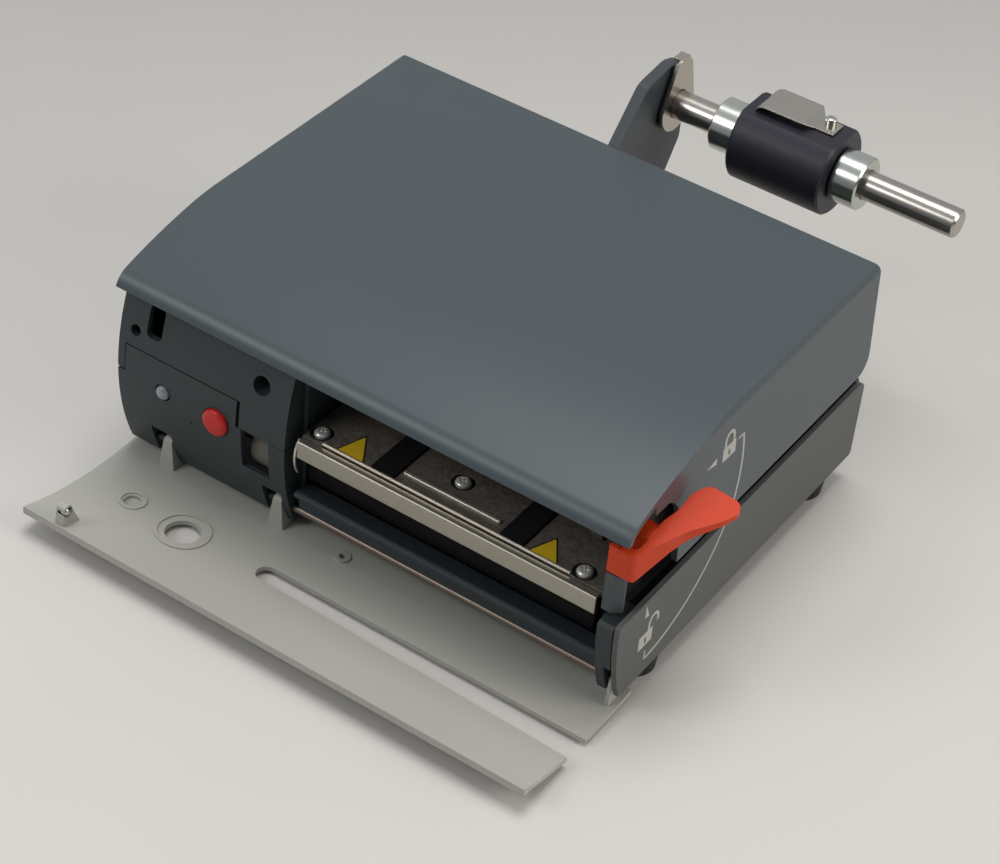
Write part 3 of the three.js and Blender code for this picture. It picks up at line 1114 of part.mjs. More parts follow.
// One of the screws that hold the arm's flange to the rear wall
function makeArmScrew(z) {
  const r = unwinder.screwRadius;
  return turned([[0, -overrun], [2 * r, -overrun], [2 * r, r * 0.6], [1.4 * r, 1.2 * r], [0, 1.4 * r]],
    new THREE.Matrix4().setPosition(armScrewX(), armFront + unwinder.flangeThick, z), 24);
}

// The steel shaft with its shoulder sleeve in the arm and the bolt end behind it
function makeUnwinderShaft() {
  const { shaftY: y, shaftZ: z, shaftRadius: r, shaftEnd, chamfer, armLeft, armThick, boltHeight } = unwinder;
  const start = armLeft - gap;
  const shoulder = armLeft + armThick - start;
  return join(
    turned([[0, 0], [unwinder.sleeve, 0], [unwinder.sleeve, shoulder], [r, shoulder],
      [r, shaftEnd - start - chamfer], [r - chamfer, shaftEnd - start], [0, shaftEnd - start]],
      latheX(start, y, z), 36),
    prismX(circle(y, z, unwinder.boltRadius, 6), start - boltHeight, start + overrun));
}
add('unwinder_shaft', makeUnwinderShaft(), finishes.steel);

// Backing pad and stainless hook plate, round the shaft and over the arm's top edge
function plateOutline(grow) {
  const { shaftY: y, shaftZ: z, plateRadius, plateHalf, plateTop } = unwinder;
  return [...arc(y, z, plateRadius - grow, 180, 360), [y + plateHalf - grow, plateTop - grow - wall],
    [y + plateHalf - grow - wall, plateTop - grow], [y - plateHalf / 2, plateTop - grow]];
}

function makePlate(from, sheet, grow) {
  return cut(prismX(plateOutline(grow), from, from + sheet),
    rodX(unwinder.shaftY, unwinder.shaftZ, unwinder.shaftRadius + gap, from - overrun,
    from + sheet + overrun, 32));
}
const padLeft = unwinder.armLeft + unwinder.armThick + gap;
const plateFrom = padLeft + unwinder.padSheet + gap;
add('unwinder_backing_pad', makePlate(padLeft, unwinder.padSheet, overrun), finishes.black);

function makeHookPlate() {
  const { shaftY, plateSheet, plateTop, foldDepth, foldLength, foldShift, top } = unwinder;
  const low = Math.max(plateTop, top + gap) - plateSheet / 2;
  const middle = shaftY + foldShift;
  const fold = block(plateFrom - foldDepth, plateFrom + plateSheet, middle - foldLength / 2,
    middle + foldLength / 2,
    low, low + plateSheet);
  return join(makePlate(plateFrom, plateSheet, 0), fold);
}
add('unwinder_hook_plate', makeHookPlate(), finishes.steel);

// Two set collars with their set screws' bores
function makeCollar(x) {
  const { shaftY: y, shaftZ: z, shaftRadius: r, collarRadius, collarWidth, chamfer } = unwinder;
  const ring = turned([[r + gap, 0], [collarRadius - chamfer, 0], [collarRadius, chamfer],
    [collarRadius, collarWidth - chamfer], [collarRadius - chamfer, collarWidth], [r + gap, collarWidth],
    [r + gap, 0]], latheX(x, y, z), 28);
  return cut(ring, rodZ(x + collarWidth / 2, y, r / 3, z - 2 * collarRadius, z - collarRadius * 0.75, 16));
}
const outerCollar = unwinder.coreLeft + unwinder.coreLength + gap;
add('set_collar_inner', makeCollar(unwinder.innerCollar), finishes.zinc);
add('set_collar_outer', makeCollar(outerCollar), finishes.zinc);

// The core that the label roll is pushed on, with a flat for its leaf spring
function makeCore() {
  const { shaftY: y, shaftZ: z, coreRadius, coreBore, coreLeft, coreLength, chamfer, flatHeight } = unwinder;
  const sleeve = turned([[coreBore, 0], [coreRadius - chamfer, 0], [coreRadius, chamfer],
    [coreRadius, coreLength - chamfer], [coreRadius - chamfer, coreLength], [coreBore, coreLength],
    [coreBore, 0]],
    latheX(coreLeft, y, z), 40);
  const flat = block(coreLeft - overrun, coreLeft + coreLength + overrun, y - coreRadius, y + coreRadius,
    z + flatHeight, z + 2 * coreRadius);
  return cut(sleeve, flat, rodZ(leafScrewX(), y + leaf.shift, leaf.screwRadius / 2 + gap,
    z + coreBore + overrun,
    z + 2 * coreRadius, 16));
}
const leafScrewX = () => leaf.left + leaf.screwX;
add('unwinder_core', makeCore(), finishes.core);

function makeLeaf() {
  const low = unwinder.shaftZ + unwinder.flatHeight + gap;
  const { left, flat, bend, length, width, tabWidth, sheet, rise, screwRadius: r, screwHeight: high } = leaf;
  const y = unwinder.shaftY + leaf.shift;
  const line = [[left, low], [left + bend, low + rise], [left + flat, low + rise], [left + flat + bend, low],
    [left + length, low]];
  const back = line.map(([x, z]) => [x, z + sheet]).reverse();
  const plan = prismZ([[left, y - width / 2], [left + flat, y - width / 2],
    [left + flat + bend, y - tabWidth / 2],
    [left + length, y - tabWidth / 2], [left + length, y + tabWidth / 2],
    [left + flat + bend, y + tabWidth / 2],
    [left + flat, y + width / 2], [left, y + width / 2]], low, low + rise + sheet);
  const seat = low + sheet;
  const screw = turned([[0, seat - 2 * high], [r / 2, seat - 2 * high], [r / 2, seat - gap], [r, seat - gap],
    [r, seat + high / 2], [r * 0.6, seat + high], [0, seat + high]], latheUp(leafScrewX(), y, 0), 20);
  return join(common(prismY([...line, ...back], y - width, y + width), plan), screw);
}
add('leaf_spring', makeLeaf(), finishes.steel);

// The origin is the bottom centre of the whole printer
printer.updateMatrixWorld(true);
const reach = new THREE.Box3().setFromObject(printer, true);
const middle = reach.getCenter(new THREE.Vector3());
printer.position.set(-middle.x, -middle.y, -reach.min.z);

export default printer;
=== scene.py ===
"""Looks of the portable label printer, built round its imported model.

Shapes are drawn in millimetres in the body's own frame: x to the right, y to the back, z up, with zero
at the left side, the front and the underside of the lower panels. Bench.place() turns them into metres
in the row frame.
"""

import json
import logging
import math
from collections.abc import Callable
from dataclasses import dataclass, field
from enum import Enum

import bmesh
import bpy
from mathutils import Matrix, Vector

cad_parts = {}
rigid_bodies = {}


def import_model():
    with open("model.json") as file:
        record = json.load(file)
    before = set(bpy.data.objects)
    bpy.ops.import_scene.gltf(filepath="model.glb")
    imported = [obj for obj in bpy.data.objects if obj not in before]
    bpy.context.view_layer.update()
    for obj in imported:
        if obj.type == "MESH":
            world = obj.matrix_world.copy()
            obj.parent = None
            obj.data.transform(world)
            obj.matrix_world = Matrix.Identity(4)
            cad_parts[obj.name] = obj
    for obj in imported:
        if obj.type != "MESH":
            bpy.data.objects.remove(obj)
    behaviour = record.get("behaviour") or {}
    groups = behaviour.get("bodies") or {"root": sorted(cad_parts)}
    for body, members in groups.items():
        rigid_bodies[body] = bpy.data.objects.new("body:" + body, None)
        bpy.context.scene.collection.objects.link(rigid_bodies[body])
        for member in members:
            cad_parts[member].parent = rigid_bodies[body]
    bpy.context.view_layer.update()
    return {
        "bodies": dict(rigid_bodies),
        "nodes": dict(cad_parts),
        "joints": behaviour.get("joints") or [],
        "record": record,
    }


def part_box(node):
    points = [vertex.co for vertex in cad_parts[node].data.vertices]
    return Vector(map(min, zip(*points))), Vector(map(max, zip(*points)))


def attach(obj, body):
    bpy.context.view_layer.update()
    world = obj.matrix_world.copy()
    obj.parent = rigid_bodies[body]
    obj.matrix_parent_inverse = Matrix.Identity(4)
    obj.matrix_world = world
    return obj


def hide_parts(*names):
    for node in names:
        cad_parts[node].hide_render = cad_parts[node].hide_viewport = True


log = logging.getLogger("label_printer")

Point = tuple[float, float]
Triple = tuple[float, float, float]
Quad = tuple[float, float, float, float]
Outline = list[Point]
Socket = bpy.types.NodeSocket

MILLIMETRE = 0.001
GAP = 0.3
OVERRUN = 1.0
WALL = 2.6
CHORD_TOLERANCE = 0.012
TALL = 91.0
SHAFT_RADIUS = 3.0
SHAFT_BORE = 3.3
ROD_AXIS = (4.0, 2.2)
ROD_BORE = 1.9
HEAD_FULLNESS = 0.7


class Axis(Enum):
    """The direction that an outline is extruded or turned along."""

    X = "x"
    Y = "y"
    Z = "z"


class Toward(Enum):
    """The direction that a turned piece's profile height grows in."""

    RIGHT = "right"
    FRONT = "front"
    BACK = "back"
    UP = "up"


class Grain(Enum):
    """The kind of surface that a finish shows close up."""

    MOULDED = "moulded"
    SMOOTH = "smooth"
    BRUSHED = "brushed"
    TURNED = "turned"
    SPANGLED = "spangled"
    PLATED = "plated"
    RUBBERY = "rubbery"
    PAINTED = "painted"


# Outlines in the plane

def arc(u: float, v: float, radius: float, start: float, end: float) -> Outline:
    """Points on an arc, with as many steps as its size needs.

    Args:
        u: The centre's first coordinate.
        v: The centre's second coordinate.
        radius: The arc's radius.
        start: Its first angle in degrees.
        end: Its last angle in degrees.

    Returns:
        The points from start to end, both included.
    """
    step = 2 * math.acos(max(0.0, 1 - CHORD_TOLERANCE / max(radius, 2 * CHORD_TOLERANCE)))
    count = max(3, math.ceil(abs(math.radians(end - start)) / step))
    angles = [math.radians(start + (end - start) * i / count) for i in range(count + 1)]
    return [(u + radius * math.cos(a), v + radius * math.sin(a)) for a in angles]


def circle(u: float, v: float, radius: float) -> Outline:
    """A full circle as a closed outline."""
    return arc(u, v, radius, 0, 360)[:-1]


def rectangle(u0: float, u1: float, v0: float, v1: float) -> Outline:
    """A plain rectangle."""
    return [(u0, v0), (u1, v0), (u1, v1), (u0, v1)]


def rounded(u0: float, u1: float, v0: float, v1: float, radius: float) -> Outline:
    """A rectangle with round corners."""
    return [*arc(u1 - radius, v0 + radius, radius, -90, 0), *arc(u1 - radius, v1 - radius, radius, 0, 90),
            *arc(u0 + radius, v1 - radius, radius, 90, 180), *arc(u0 + radius, v0 + radius, radius, 180, 270)]


def swell(bulge: float, low: float, high: float, radius: float = 100, middle: float = 33) -> Outline:
    """The swelling front line, as (y, z) points from low to high.

    Args:
        bulge: How far the line reaches forward of zero at its foremost height.
        low: Its lowest height.
        high: Its highest height.
        radius: The radius of the swell.
        middle: The height of its foremost point.

    Returns:
        The points, about one every two millimetres.
    """
    count = max(3, math.ceil((high - low) / 2))
    heights = [low + (high - low) * i / count for i in range(count + 1)]
    return [(radius - bulge - math.sqrt(radius ** 2 - (z - middle) ** 2), z) for z in heights]


def swell_at(bulge: float, z: float, radius: float = 100, middle: float = 33) -> float:
    """How far back the swelling front line stands at a height."""
    return radius - bulge - math.sqrt(radius ** 2 - (z - middle) ** 2)


def dome(radius: float, rise: float, base: float = 0.0, fullness: float = 1.0, steps: int = 10) -> Outline:
    """The profile of a domed top, from its rim to just short of its centre.

    Args:
        radius: The rim's radius.
        rise: How far the centre stands over the rim.
        base: The rim's height.
        fullness: Below one the dome is fuller than a half circle.
        steps: How many points it has.

    Returns:
        The (radius, height) points.
    """
    angles = [math.radians(90 * i / steps) for i in range(steps)]
    return [(radius * math.cos(a) ** fullness, base + rise * math.sin(a)) for a in angles]


def sleeve_profile(bore: float, radius: float, length: float, cut: float) -> Outline:
    """The closed profile of a bored round sleeve whose outer edges are cut off."""
    return [(bore, 0), (radius - cut, 0), (radius, cut), (radius, length - cut), (radius - cut, length),
            (bore, length), (bore, 0)]


def softened(points: Outline, radius: float) -> Outline:
    """An outline with every corner cut by a short curve.

    Args:
        points: The corners.
        radius: How far from each corner the curve starts.

    Returns:
        The outline with its corners rounded.
    """
    result: Outline = []
    for i, corner in enumerate(points):
        here = Vector(corner)
        before = Vector(points[i - 1]) - here
        after = Vector(points[(i + 1) % len(points)]) - here
        reach = min(radius, before.length * 0.45, after.length * 0.45)
        start = here + before.normalized() * reach
        end = here + after.normalized() * reach
        for step in range(5):
            t = step / 4
            point = start * (1 - t) ** 2 + here * (2 * t * (1 - t)) + end * t ** 2
            result.append((point.x, point.y))
    return result


class Shape:
    """A closed body in millimetres, made by extruding, turning, adding and cutting."""

    def __init__(self, mesh: bpy.types.Mesh) -> None:
        """Keeps the mesh that holds the body."""
        self.mesh = mesh

    @classmethod
    def prism(cls, points: Outline, start: float, end: float, axis: Axis = Axis.X) -> "Shape":
        """Extrudes an outline.

        Args:
            points: The outline: (y, z) along x, (x, z) along y, (x, y) along z.
            start: Where the body starts along the axis.
            end: Where it ends.
            axis: The axis that it is extruded along.

        Returns:
            The body.
        """
        place = {
            Axis.X: lambda u, v, w: (w, u, v),
            Axis.Y: lambda u, v, w: (u, w, v),
            Axis.Z: lambda u, v, w: (u, v, w),
        }[axis]
        bm = bmesh.new()
        rings = [[bm.verts.new(place(u, v, w)) for u, v in points] for w in (start, end)]
        bm.faces.new(rings[0])
        bm.faces.new(rings[1])
        for i in range(len(points)):
            bm.faces.new((rings[0][i - 1], rings[0][i], rings[1][i], rings[1][i - 1]))
        return cls._closed(bm)

    @classmethod
    def box(cls, x0: float, x1: float, y0: float, y1: float, z0: float, z1: float) -> "Shape":
        """A plain block, for cutting and for joining to other bodies."""
        return cls.prism(rectangle(x0, x1, y0, y1), z0, z1, Axis.Z)

    @classmethod
    def cross(cls, u: float, v: float, half: Point, start: float, end: float,
              axis: Axis) -> list["Shape"]:
        """The two slots of a screw's cross recess, centred at (u, v) in the plane across the axis."""
        return [cls.prism(rectangle(u - a, u + a, v - b, v + b), start, end, axis)
                for a, b in (half, half[::-1])]

    @classmethod
    def rod(cls, axis: Axis, u: float, v: float, radius: float, start: float, end: float) -> "Shape":
        """A round bar along an axis, centred at (u, v) in the plane across it."""
        return cls.prism(circle(u, v, radius), start, end, axis)

    @classmethod
    def turned(cls, profile: Outline, place: Triple, toward: Toward) -> "Shape":
        """Turns a profile of (radius, height) points about an axis.

        Args:
            profile: The points; a first point repeated at the end closes a ring-shaped body.
            place: Where height zero of the axis stands.
            toward: The direction that height grows in.

        Returns:
            The body.
        """
        lay = {
            Toward.UP: Matrix.Identity(4),
            Toward.RIGHT: Matrix.Rotation(math.pi / 2, 4, "Y"),
            Toward.FRONT: Matrix.Rotation(math.pi / 2, 4, "X"),
            Toward.BACK: Matrix.Rotation(-math.pi / 2, 4, "X"),
        }[toward]
        widest = max(r for r, _ in profile)
        count = max(12, len(circle(0, 0, widest)))
        ringed = profile[0] == profile[-1]
        points = profile[:-1] if ringed else profile
        bm = bmesh.new()
        rings = []
        for radius, height in points:
            if radius < GAP / 100:
                rings.append([bm.verts.new((0, 0, height))] * count)
            else:
                turns = [2 * math.pi * i / count for i in range(count)]
                rings.append([bm.verts.new((radius * math.cos(a), radius * math.sin(a), height))
                              for a in turns])
        pairs = list(zip(rings, rings[1:])) + ([(rings[-1], rings[0])] if ringed else [])
        for low, high in pairs:
            for i in range(count):
                corners = list(dict.fromkeys((low[i - 1], low[i], high[i], high[i - 1])))
                if len(corners) > 2:
                    bm.faces.new(corners)
        bm.transform(Matrix.Translation(Vector(place)) @ lay)
        return cls._closed(bm)

    @classmethod
    def lofted(cls, sections: list[list[Triple]]) -> "Shape":
        """Joins rings of points with the same count into one closed body.

        Args:
            sections: The rings, from one end of the body to the other.

        Returns:
            The body, capped at both ends.
        """
        bm = bmesh.new()
        rings = [[bm.verts.new(point) for point in ring] for ring in sections]
        for low, high in zip(rings, rings[1:]):
            for i in range(len(low)):
                bm.faces.new((low[i - 1], low[i], high[i], high[i - 1]))
        bm.faces.new(rings[0])
        bm.faces.new(rings[-1])
        return cls._closed(bm)

    @classmethod
    def _closed(cls, bm: bmesh.types.BMesh) -> "Shape":
        """Points all faces outwards and stores the mesh."""
        bmesh.ops.recalc_face_normals(bm, faces=bm.faces)
        mesh = bpy.data.meshes.new("shape")
        bm.to_mesh(mesh)
        bm.free()
        return cls(mesh)

    def _combined(self, operation: str, others: tuple["Shape", ...]) -> "Shape":
        """Combines this body with others, one Boolean step for each of them."""
        scene = bpy.context.scene
        target = bpy.data.objects.new("work", self.mesh.copy())
        tools = [bpy.data.objects.new("tool", other.mesh) for other in others]
        for item in (target, *tools):
            scene.collection.objects.link(item)
        for tool in tools:
            step = target.modifiers.new("step", "BOOLEAN")
            step.operation = operation
            step.solver = "MANIFOLD"
            step.object = tool
        mesh = bpy.data.meshes.new_from_object(target.evaluated_get(bpy.context.evaluated_depsgraph_get()))
        for item in (target, *tools):
            bpy.data.objects.remove(item)
        return Shape(mesh)

    def join(self, *others: "Shape") -> "Shape":
        """This body with others added to it."""
        return self._combined("UNION", others)

    def cut(self, *others: "Shape") -> "Shape":
        """This body with others taken out of it."""
        return self._combined("DIFFERENCE", others)

    def common(self, *others: "Shape") -> "Shape":
        """What this body shares with others."""
        return self._combined("INTERSECT", others)

    def moved(self, matrix: Matrix) -> "Shape":
        """A copy of this body, moved."""
        mesh = self.mesh.copy()
        mesh.transform(matrix)
        return Shape(mesh)


# Finishes

def linear(red: int, green: int, blue: int) -> Quad:
    """A colour written as 0 to 255 display values, as linear light."""
    def channel(value: int) -> float:
        share = value / 255
        return share / 12.92 if share <= 0.04045 else ((share + 0.055) / 1.055) ** 2.4
    return channel(red), channel(green), channel(blue), 1.0


def add_node(tree: bpy.types.NodeTree, kind: str, values: dict[str | int, object] | None = None,
             links: dict[str | int, Socket] | None = None,
             operation: str = "") -> bpy.types.Node:
    """Adds a shader node.

    Args:
        tree: The node tree that it goes into.
        kind: The node's type.
        values: What its unlinked inputs are set to.
        links: The sockets that feed its linked inputs.
        operation: What it works out, where its type has a choice.

    Returns:
        The node.
    """
    node = tree.nodes.new(kind)
    if operation:
        node.operation = operation
    for name, value in (values or {}).items():
        node.inputs[name].default_value = value
    for name, socket in (links or {}).items():
        tree.links.new(socket, node.inputs[name])
    return node


@dataclass(frozen=True)
class Finish:
    """One finish: its colour, its shine and its grain."""

    slot: str
    colour: tuple[int, int, int]
    roughness: float
    grain: Grain = Grain.MOULDED
    metallic: float = 0.0
    mottle: float = 0.05
    bump: float = 0.06
    coat: float = 0.0
    edge: float = 0.25
    shine: float = 0.5

    def build(self, name: str) -> bpy.types.Material:
        """Builds the node material.

        Args:
            name: The material's name.

        Returns:
            The material.
        """
        material = bpy.data.materials.new(name)
        material.use_nodes = True
        tree = material.node_tree
        shader = tree.nodes["Principled BSDF"]
        shader.inputs["Metallic"].default_value = self.metallic
        shader.inputs["Coat Weight"].default_value = self.coat
        shader.inputs["Specular IOR Level"].default_value = self.shine
        painter = GrainPainter(tree, self)
        tree.links.new(painter.colour(), shader.inputs["Base Color"])
        tree.links.new(painter.roughness(), shader.inputs["Roughness"])
        tree.links.new(painter.normal(), shader.inputs["Normal"])
        return material


class GrainPainter:
    """Builds the colour, roughness and normal of a finish from noise in the object's own space."""

    STRETCH = {
        Grain.BRUSHED: (18.0, 2600.0, 2600.0),
        Grain.TURNED: (3200.0, 40.0, 40.0),
    }
    FINE = {
        Grain.MOULDED: 2600.0,
        Grain.SMOOTH: 700.0,
        Grain.SPANGLED: 900.0,
        Grain.PLATED: 1400.0,
        Grain.RUBBERY: 1800.0,
        Grain.PAINTED: 2000.0,
    }
    BROAD = 14.0
    WORN = 160.0
    FINE_SHARE = 0.45
    FLAKE_SHARE = 0.6
    RAMP = (0.3, 0.7)
    UNEVEN = 0.12
    EDGE_SAMPLES = 4
    BUMP_DEPTH = 0.1

    def __init__(self, tree: bpy.types.NodeTree, finish: Finish) -> None:
        """Starts in a material's node tree with the coordinates that all grains use."""
        self.tree = tree
        self.finish = finish
        self.place = add_node(tree, "ShaderNodeTexCoord").outputs["Object"]
        self.fine = self._fine_noise()
        self.broad = self._noise(self.place, self.BROAD, 2)

    def _noise(self, vector: Socket, scale: float, detail: float) -> Socket:
        """A noise value at the given scale."""
        return add_node(self.tree, "ShaderNodeTexNoise", {"Scale": scale, "Detail": detail},
                        {"Vector": vector}).outputs["Fac"]

    def _fine_noise(self) -> Socket:
        """The finest grain: even, stretched into brush lines, or in flakes."""
        grain = self.finish.grain
        if grain in self.STRETCH:
            mapping = add_node(self.tree, "ShaderNodeMapping", {"Scale": self.STRETCH[grain]},
                               {"Vector": self.place})
            return self._noise(mapping.outputs["Vector"], 1.0, 3)
        return self._noise(self.place, self.FINE[grain], 2)

    def _flakes(self) -> Socket:
        """Flakes of zinc, as the brightness of cells."""
        cells = add_node(self.tree, "ShaderNodeTexVoronoi",
                         {"Scale": self.FINE[Grain.SPANGLED], "Randomness": 1.0}, {"Vector": self.place})
        return add_node(self.tree, "ShaderNodeSeparateColor",
                        links={"Color": cells.outputs["Color"]}).outputs["Red"]

    def _mixed(self, share: Socket, low: tuple, high: tuple) -> Socket:
        """A colour that runs from low to high as share goes through the middle of its range."""
        ramp = add_node(self.tree, "ShaderNodeValToRGB", links={"Fac": share})
        for element, position, colour in zip(ramp.color_ramp.elements, self.RAMP, (low, high)):
            element.position = position
            element.color = colour
        return ramp.outputs["Color"]

    def _sum(self, first: Socket, second: Socket,
             share: float) -> Socket:
        """Two values blended, with share of the second."""
        return add_node(self.tree, "ShaderNodeMix", {"Factor": share},
                        {"A": first, "B": second}).outputs["Result"]

    def colour(self) -> Socket:
        """The base colour, with broad mottling and the grain's own specks."""
        tint = linear(*self.finish.colour)
        spread = self.finish.mottle
        low = tuple(c * (1 - spread) for c in tint[:3]) + (1.0,)
        high = tuple(min(1.0, c * (1 + spread)) for c in tint[:3]) + (1.0,)
        if self.finish.grain is Grain.SPANGLED:
            flakes = self._sum(self.broad, self._flakes(), self.FLAKE_SHARE)
            return self._mixed(self._sum(flakes, self._noise(self.place, self.WORN, 4), 0.5), low, high)
        return self._mixed(self._sum(self.broad, self.fine, self.FINE_SHARE), low, high)

    def roughness(self) -> Socket:
        """The roughness, a little uneven over the surface."""
        low, high = [self.finish.roughness * share for share in (1 - self.UNEVEN, 1 + self.UNEVEN)]
        return add_node(self.tree, "ShaderNodeMapRange", {"To Min": low, "To Max": min(1.0, high)},
                        {"Value": self._sum(self.broad, self.fine, 0.5)}).outputs["Result"]

    def normal(self) -> Socket:
        """The grain's bump, over edges that are rounded off by a hair."""
        edge = add_node(self.tree, "ShaderNodeBevel", {"Radius": self.finish.edge * MILLIMETRE})
        edge.samples = self.EDGE_SAMPLES
        return add_node(self.tree, "ShaderNodeBump",
                        {"Strength": self.finish.bump, "Distance": self.BUMP_DEPTH * MILLIMETRE},
                        {"Height": self.fine, "Normal": edge.outputs["Normal"]}).outputs["Normal"]


FINISHES = {
    "cover_slate": Finish("cover_slate", (68, 77, 81), 0.36, bump=0.16, mottle=0.04, shine=0.42),
    "panel_dark": Finish("panel_dark", (51, 59, 61), 0.5, bump=0.14, mottle=0.05, shine=0.36),
    "side_slate": Finish("side_grey", (86, 88, 87), 0.55, bump=0.16, mottle=0.05, shine=0.36),
    "wheel_grey": Finish("flap_grey", (100, 98, 90), 0.55, bump=0.1, mottle=0.05),
    "flap_grey": Finish("flap_grey", (170, 169, 161), 0.5, bump=0.12, mottle=0.03),
    "lever_orange": Finish("lever_orange", (200, 58, 18), 0.42, bump=0.08, mottle=0.04, shine=0.3),
    "button_red": Finish("button_red", (198, 36, 32), 0.34, Grain.SMOOTH, bump=0.02, mottle=0.04, shine=0.4),
    "light_clear": Finish("light_clear", (128, 138, 146), 0.12, Grain.SMOOTH, bump=0.02, coat=0.8),
    "stainless": Finish("stainless", (186, 180, 170), 0.26, Grain.BRUSHED, 1.0, mottle=0.09, bump=0.1),
    "shaft_steel": Finish("stainless", (182, 176, 168), 0.24, Grain.TURNED, 1.0, mottle=0.08, bump=0.08),
    "zinc": Finish("zinc", (198, 202, 194), 0.2, Grain.PLATED, 1.0, mottle=0.06, bump=0.04),
    "chrome": Finish("zinc", (232, 232, 224), 0.28, Grain.SMOOTH, 0.45, mottle=0.03, bump=0.02),
    # Lighter copy of the strip's steel: painted highlight on thin raised edges.
    "steel_painted_highlight": Finish("stainless", (214, 206, 192), 0.3, Grain.BRUSHED, 0.6, mottle=0.06, bump=0.05),
    "strip_steel": Finish("stainless", (176, 170, 158), 0.36, Grain.BRUSHED, 0.7, mottle=0.06, bump=0.06),
    "post_slate": Finish("panel_dark", (72, 78, 81), 0.5, bump=0.12, mottle=0.05, shine=0.36),
    "bar_slate": Finish("panel_dark", (48, 54, 58), 0.45, bump=0.12, mottle=0.05, shine=0.36),
    "rod_brown": Finish("stainless", (124, 112, 102), 0.4, Grain.TURNED, 0.8, mottle=0.1, bump=0.06),
    "gear_steel": Finish("stainless", (62, 60, 58), 0.5, Grain.SMOOTH, 0.6, mottle=0.1, bump=0.05),
    "ring_dark": Finish("black_plastic", (24, 22, 18), 0.6, Grain.SMOOTH, mottle=0.05, edge=0.02, shine=0.3),
    "head_cast": Finish("head_cast", (126, 118, 110), 0.48, Grain.SPANGLED, 0.35, mottle=0.3, bump=0.1),
    "black_plastic": Finish("black_plastic", (26, 27, 29), 0.5, bump=0.1, mottle=0.08),
    "rubber": Finish("rubber", (30, 30, 31), 0.75, Grain.RUBBERY, bump=0.12, mottle=0.1),
    # Black rubber made darker still: painted shade of the bay under the head.
    "roller_rubber_painted_shade": Finish("rubber", (9, 9, 10), 0.7, Grain.RUBBERY, bump=0.1, mottle=0.1, shine=0.16),
    "core_dark": Finish("core_dark", (36, 34, 45), 0.44, Grain.TURNED, 0.25, mottle=0.08, bump=0.08),
    "arm_grey": Finish("arm_grey", (59, 64, 69), 0.42, Grain.PAINTED, mottle=0.05, bump=0.12, shine=0.36),
    "board_green": Finish("board_green", (30, 92, 58), 0.4, Grain.SMOOTH, mottle=0.08),
    "nylon": Finish("nylon", (222, 218, 204), 0.5, Grain.SMOOTH, mottle=0.03),
    "print_grey": Finish("flap_grey", (176, 176, 168), 0.6, Grain.SMOOTH, mottle=0.04, edge=0.02),
    "tape_yellow": Finish("flap_grey", (250, 208, 44), 0.4, Grain.SMOOTH, mottle=0.03, edge=0.05),
}


@dataclass
class Bench:
    """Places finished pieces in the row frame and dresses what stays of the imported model."""

    WELD = 0.004
    FLAT_ANGLE = 0.3

    frame: dict
    body: Point = (230.0, 172.0)
    foot_drop: float = 12.0
    origin: Vector = field(default_factory=Vector)
    materials: dict[str, bpy.types.Material] = field(default_factory=dict)

    def __post_init__(self) -> None:
        """Finds the body frame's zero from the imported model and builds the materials."""
        panel_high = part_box("lower_side_panel")[1]
        foot_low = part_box("foot_front_right")[0]
        width, depth = self.body
        self.origin = Vector((panel_high.x - width * MILLIMETRE, panel_high.y - depth * MILLIMETRE,
                              foot_low.z + self.foot_drop * MILLIMETRE))
        self.materials = {name: finish.build(name) for name, finish in FINISHES.items()}

    def place(self, name: str, shape: Shape, body: str, finish: str, *nodes: str,
              bevel: float = 0.0, segments: int = 2, angle: float = 32.0) -> bpy.types.Object:
        """Makes a shape into a piece that rides on a body.

        Args:
            name: The piece's name.
            shape: Its shape, in millimetres in the body's frame.
            body: The body that it rides on.
            finish: The name of its finish.
            nodes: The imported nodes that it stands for.
            bevel: The width of the rounding on its edges, or zero.
            segments: How many faces that rounding has.
            angle: Edges sharper than this many degrees are rounded, or stay sharp.

        Returns:
            The piece.
        """
        mesh = shape.mesh.copy()
        mesh.name = name
        piece = bpy.data.objects.new(name, mesh)
        bpy.context.scene.collection.objects.link(piece)
        self._clean(mesh)
        if bevel:
            edge = piece.modifiers.new("edge", "BEVEL")
            edge.width = bevel
            edge.segments = segments
            edge.limit_method = "ANGLE"
            edge.angle_limit = math.radians(angle)
            edge.miter_outer = "MITER_ARC"
        piece.modifiers.new("shading", "WEIGHTED_NORMAL").keep_sharp = True
        mesh.polygons.foreach_set("use_smooth", [True] * len(mesh.polygons))
        mesh.set_sharp_from_angle(angle=math.radians(angle))
        done = bpy.data.meshes.new_from_object(piece.evaluated_get(bpy.context.evaluated_depsgraph_get()))
        piece.modifiers.clear()
        piece.data = done
        done.name = name
        done.transform(Matrix.Translation(self.origin) @ Matrix.Scale(MILLIMETRE, 4))
        done.materials.clear()
        done.materials.append(self.materials[finish])
        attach(piece, body)
        if nodes:
            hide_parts(*nodes)
        log.info("placed %s on %s with %d faces", name, body, len(done.polygons))
        return piece

    @classmethod
    def _clean(cls, mesh: bpy.types.Mesh) -> None:
        """Joins faces that lie in one plane and vertices in one place."""
        bm = bmesh.new()
        bm.from_mesh(mesh)
        bmesh.ops.remove_doubles(bm, verts=bm.verts, dist=cls.WELD)
        bmesh.ops.dissolve_limit(bm, angle_limit=math.radians(cls.FLAT_ANGLE), verts=bm.verts,
                                 edges=bm.edges)
        bm.to_mesh(mesh)
        bm.free()

    def dress(self, finish: str, *nodes: str) -> None:
        """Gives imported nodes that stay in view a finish."""
        for node in nodes:
            mesh = self.frame["nodes"][node].data
            mesh.materials.clear()
            mesh.materials.append(self.materials[finish])
        log.info("dressed %s with %s", ", ".join(nodes), finish)


# Sub-assemblies

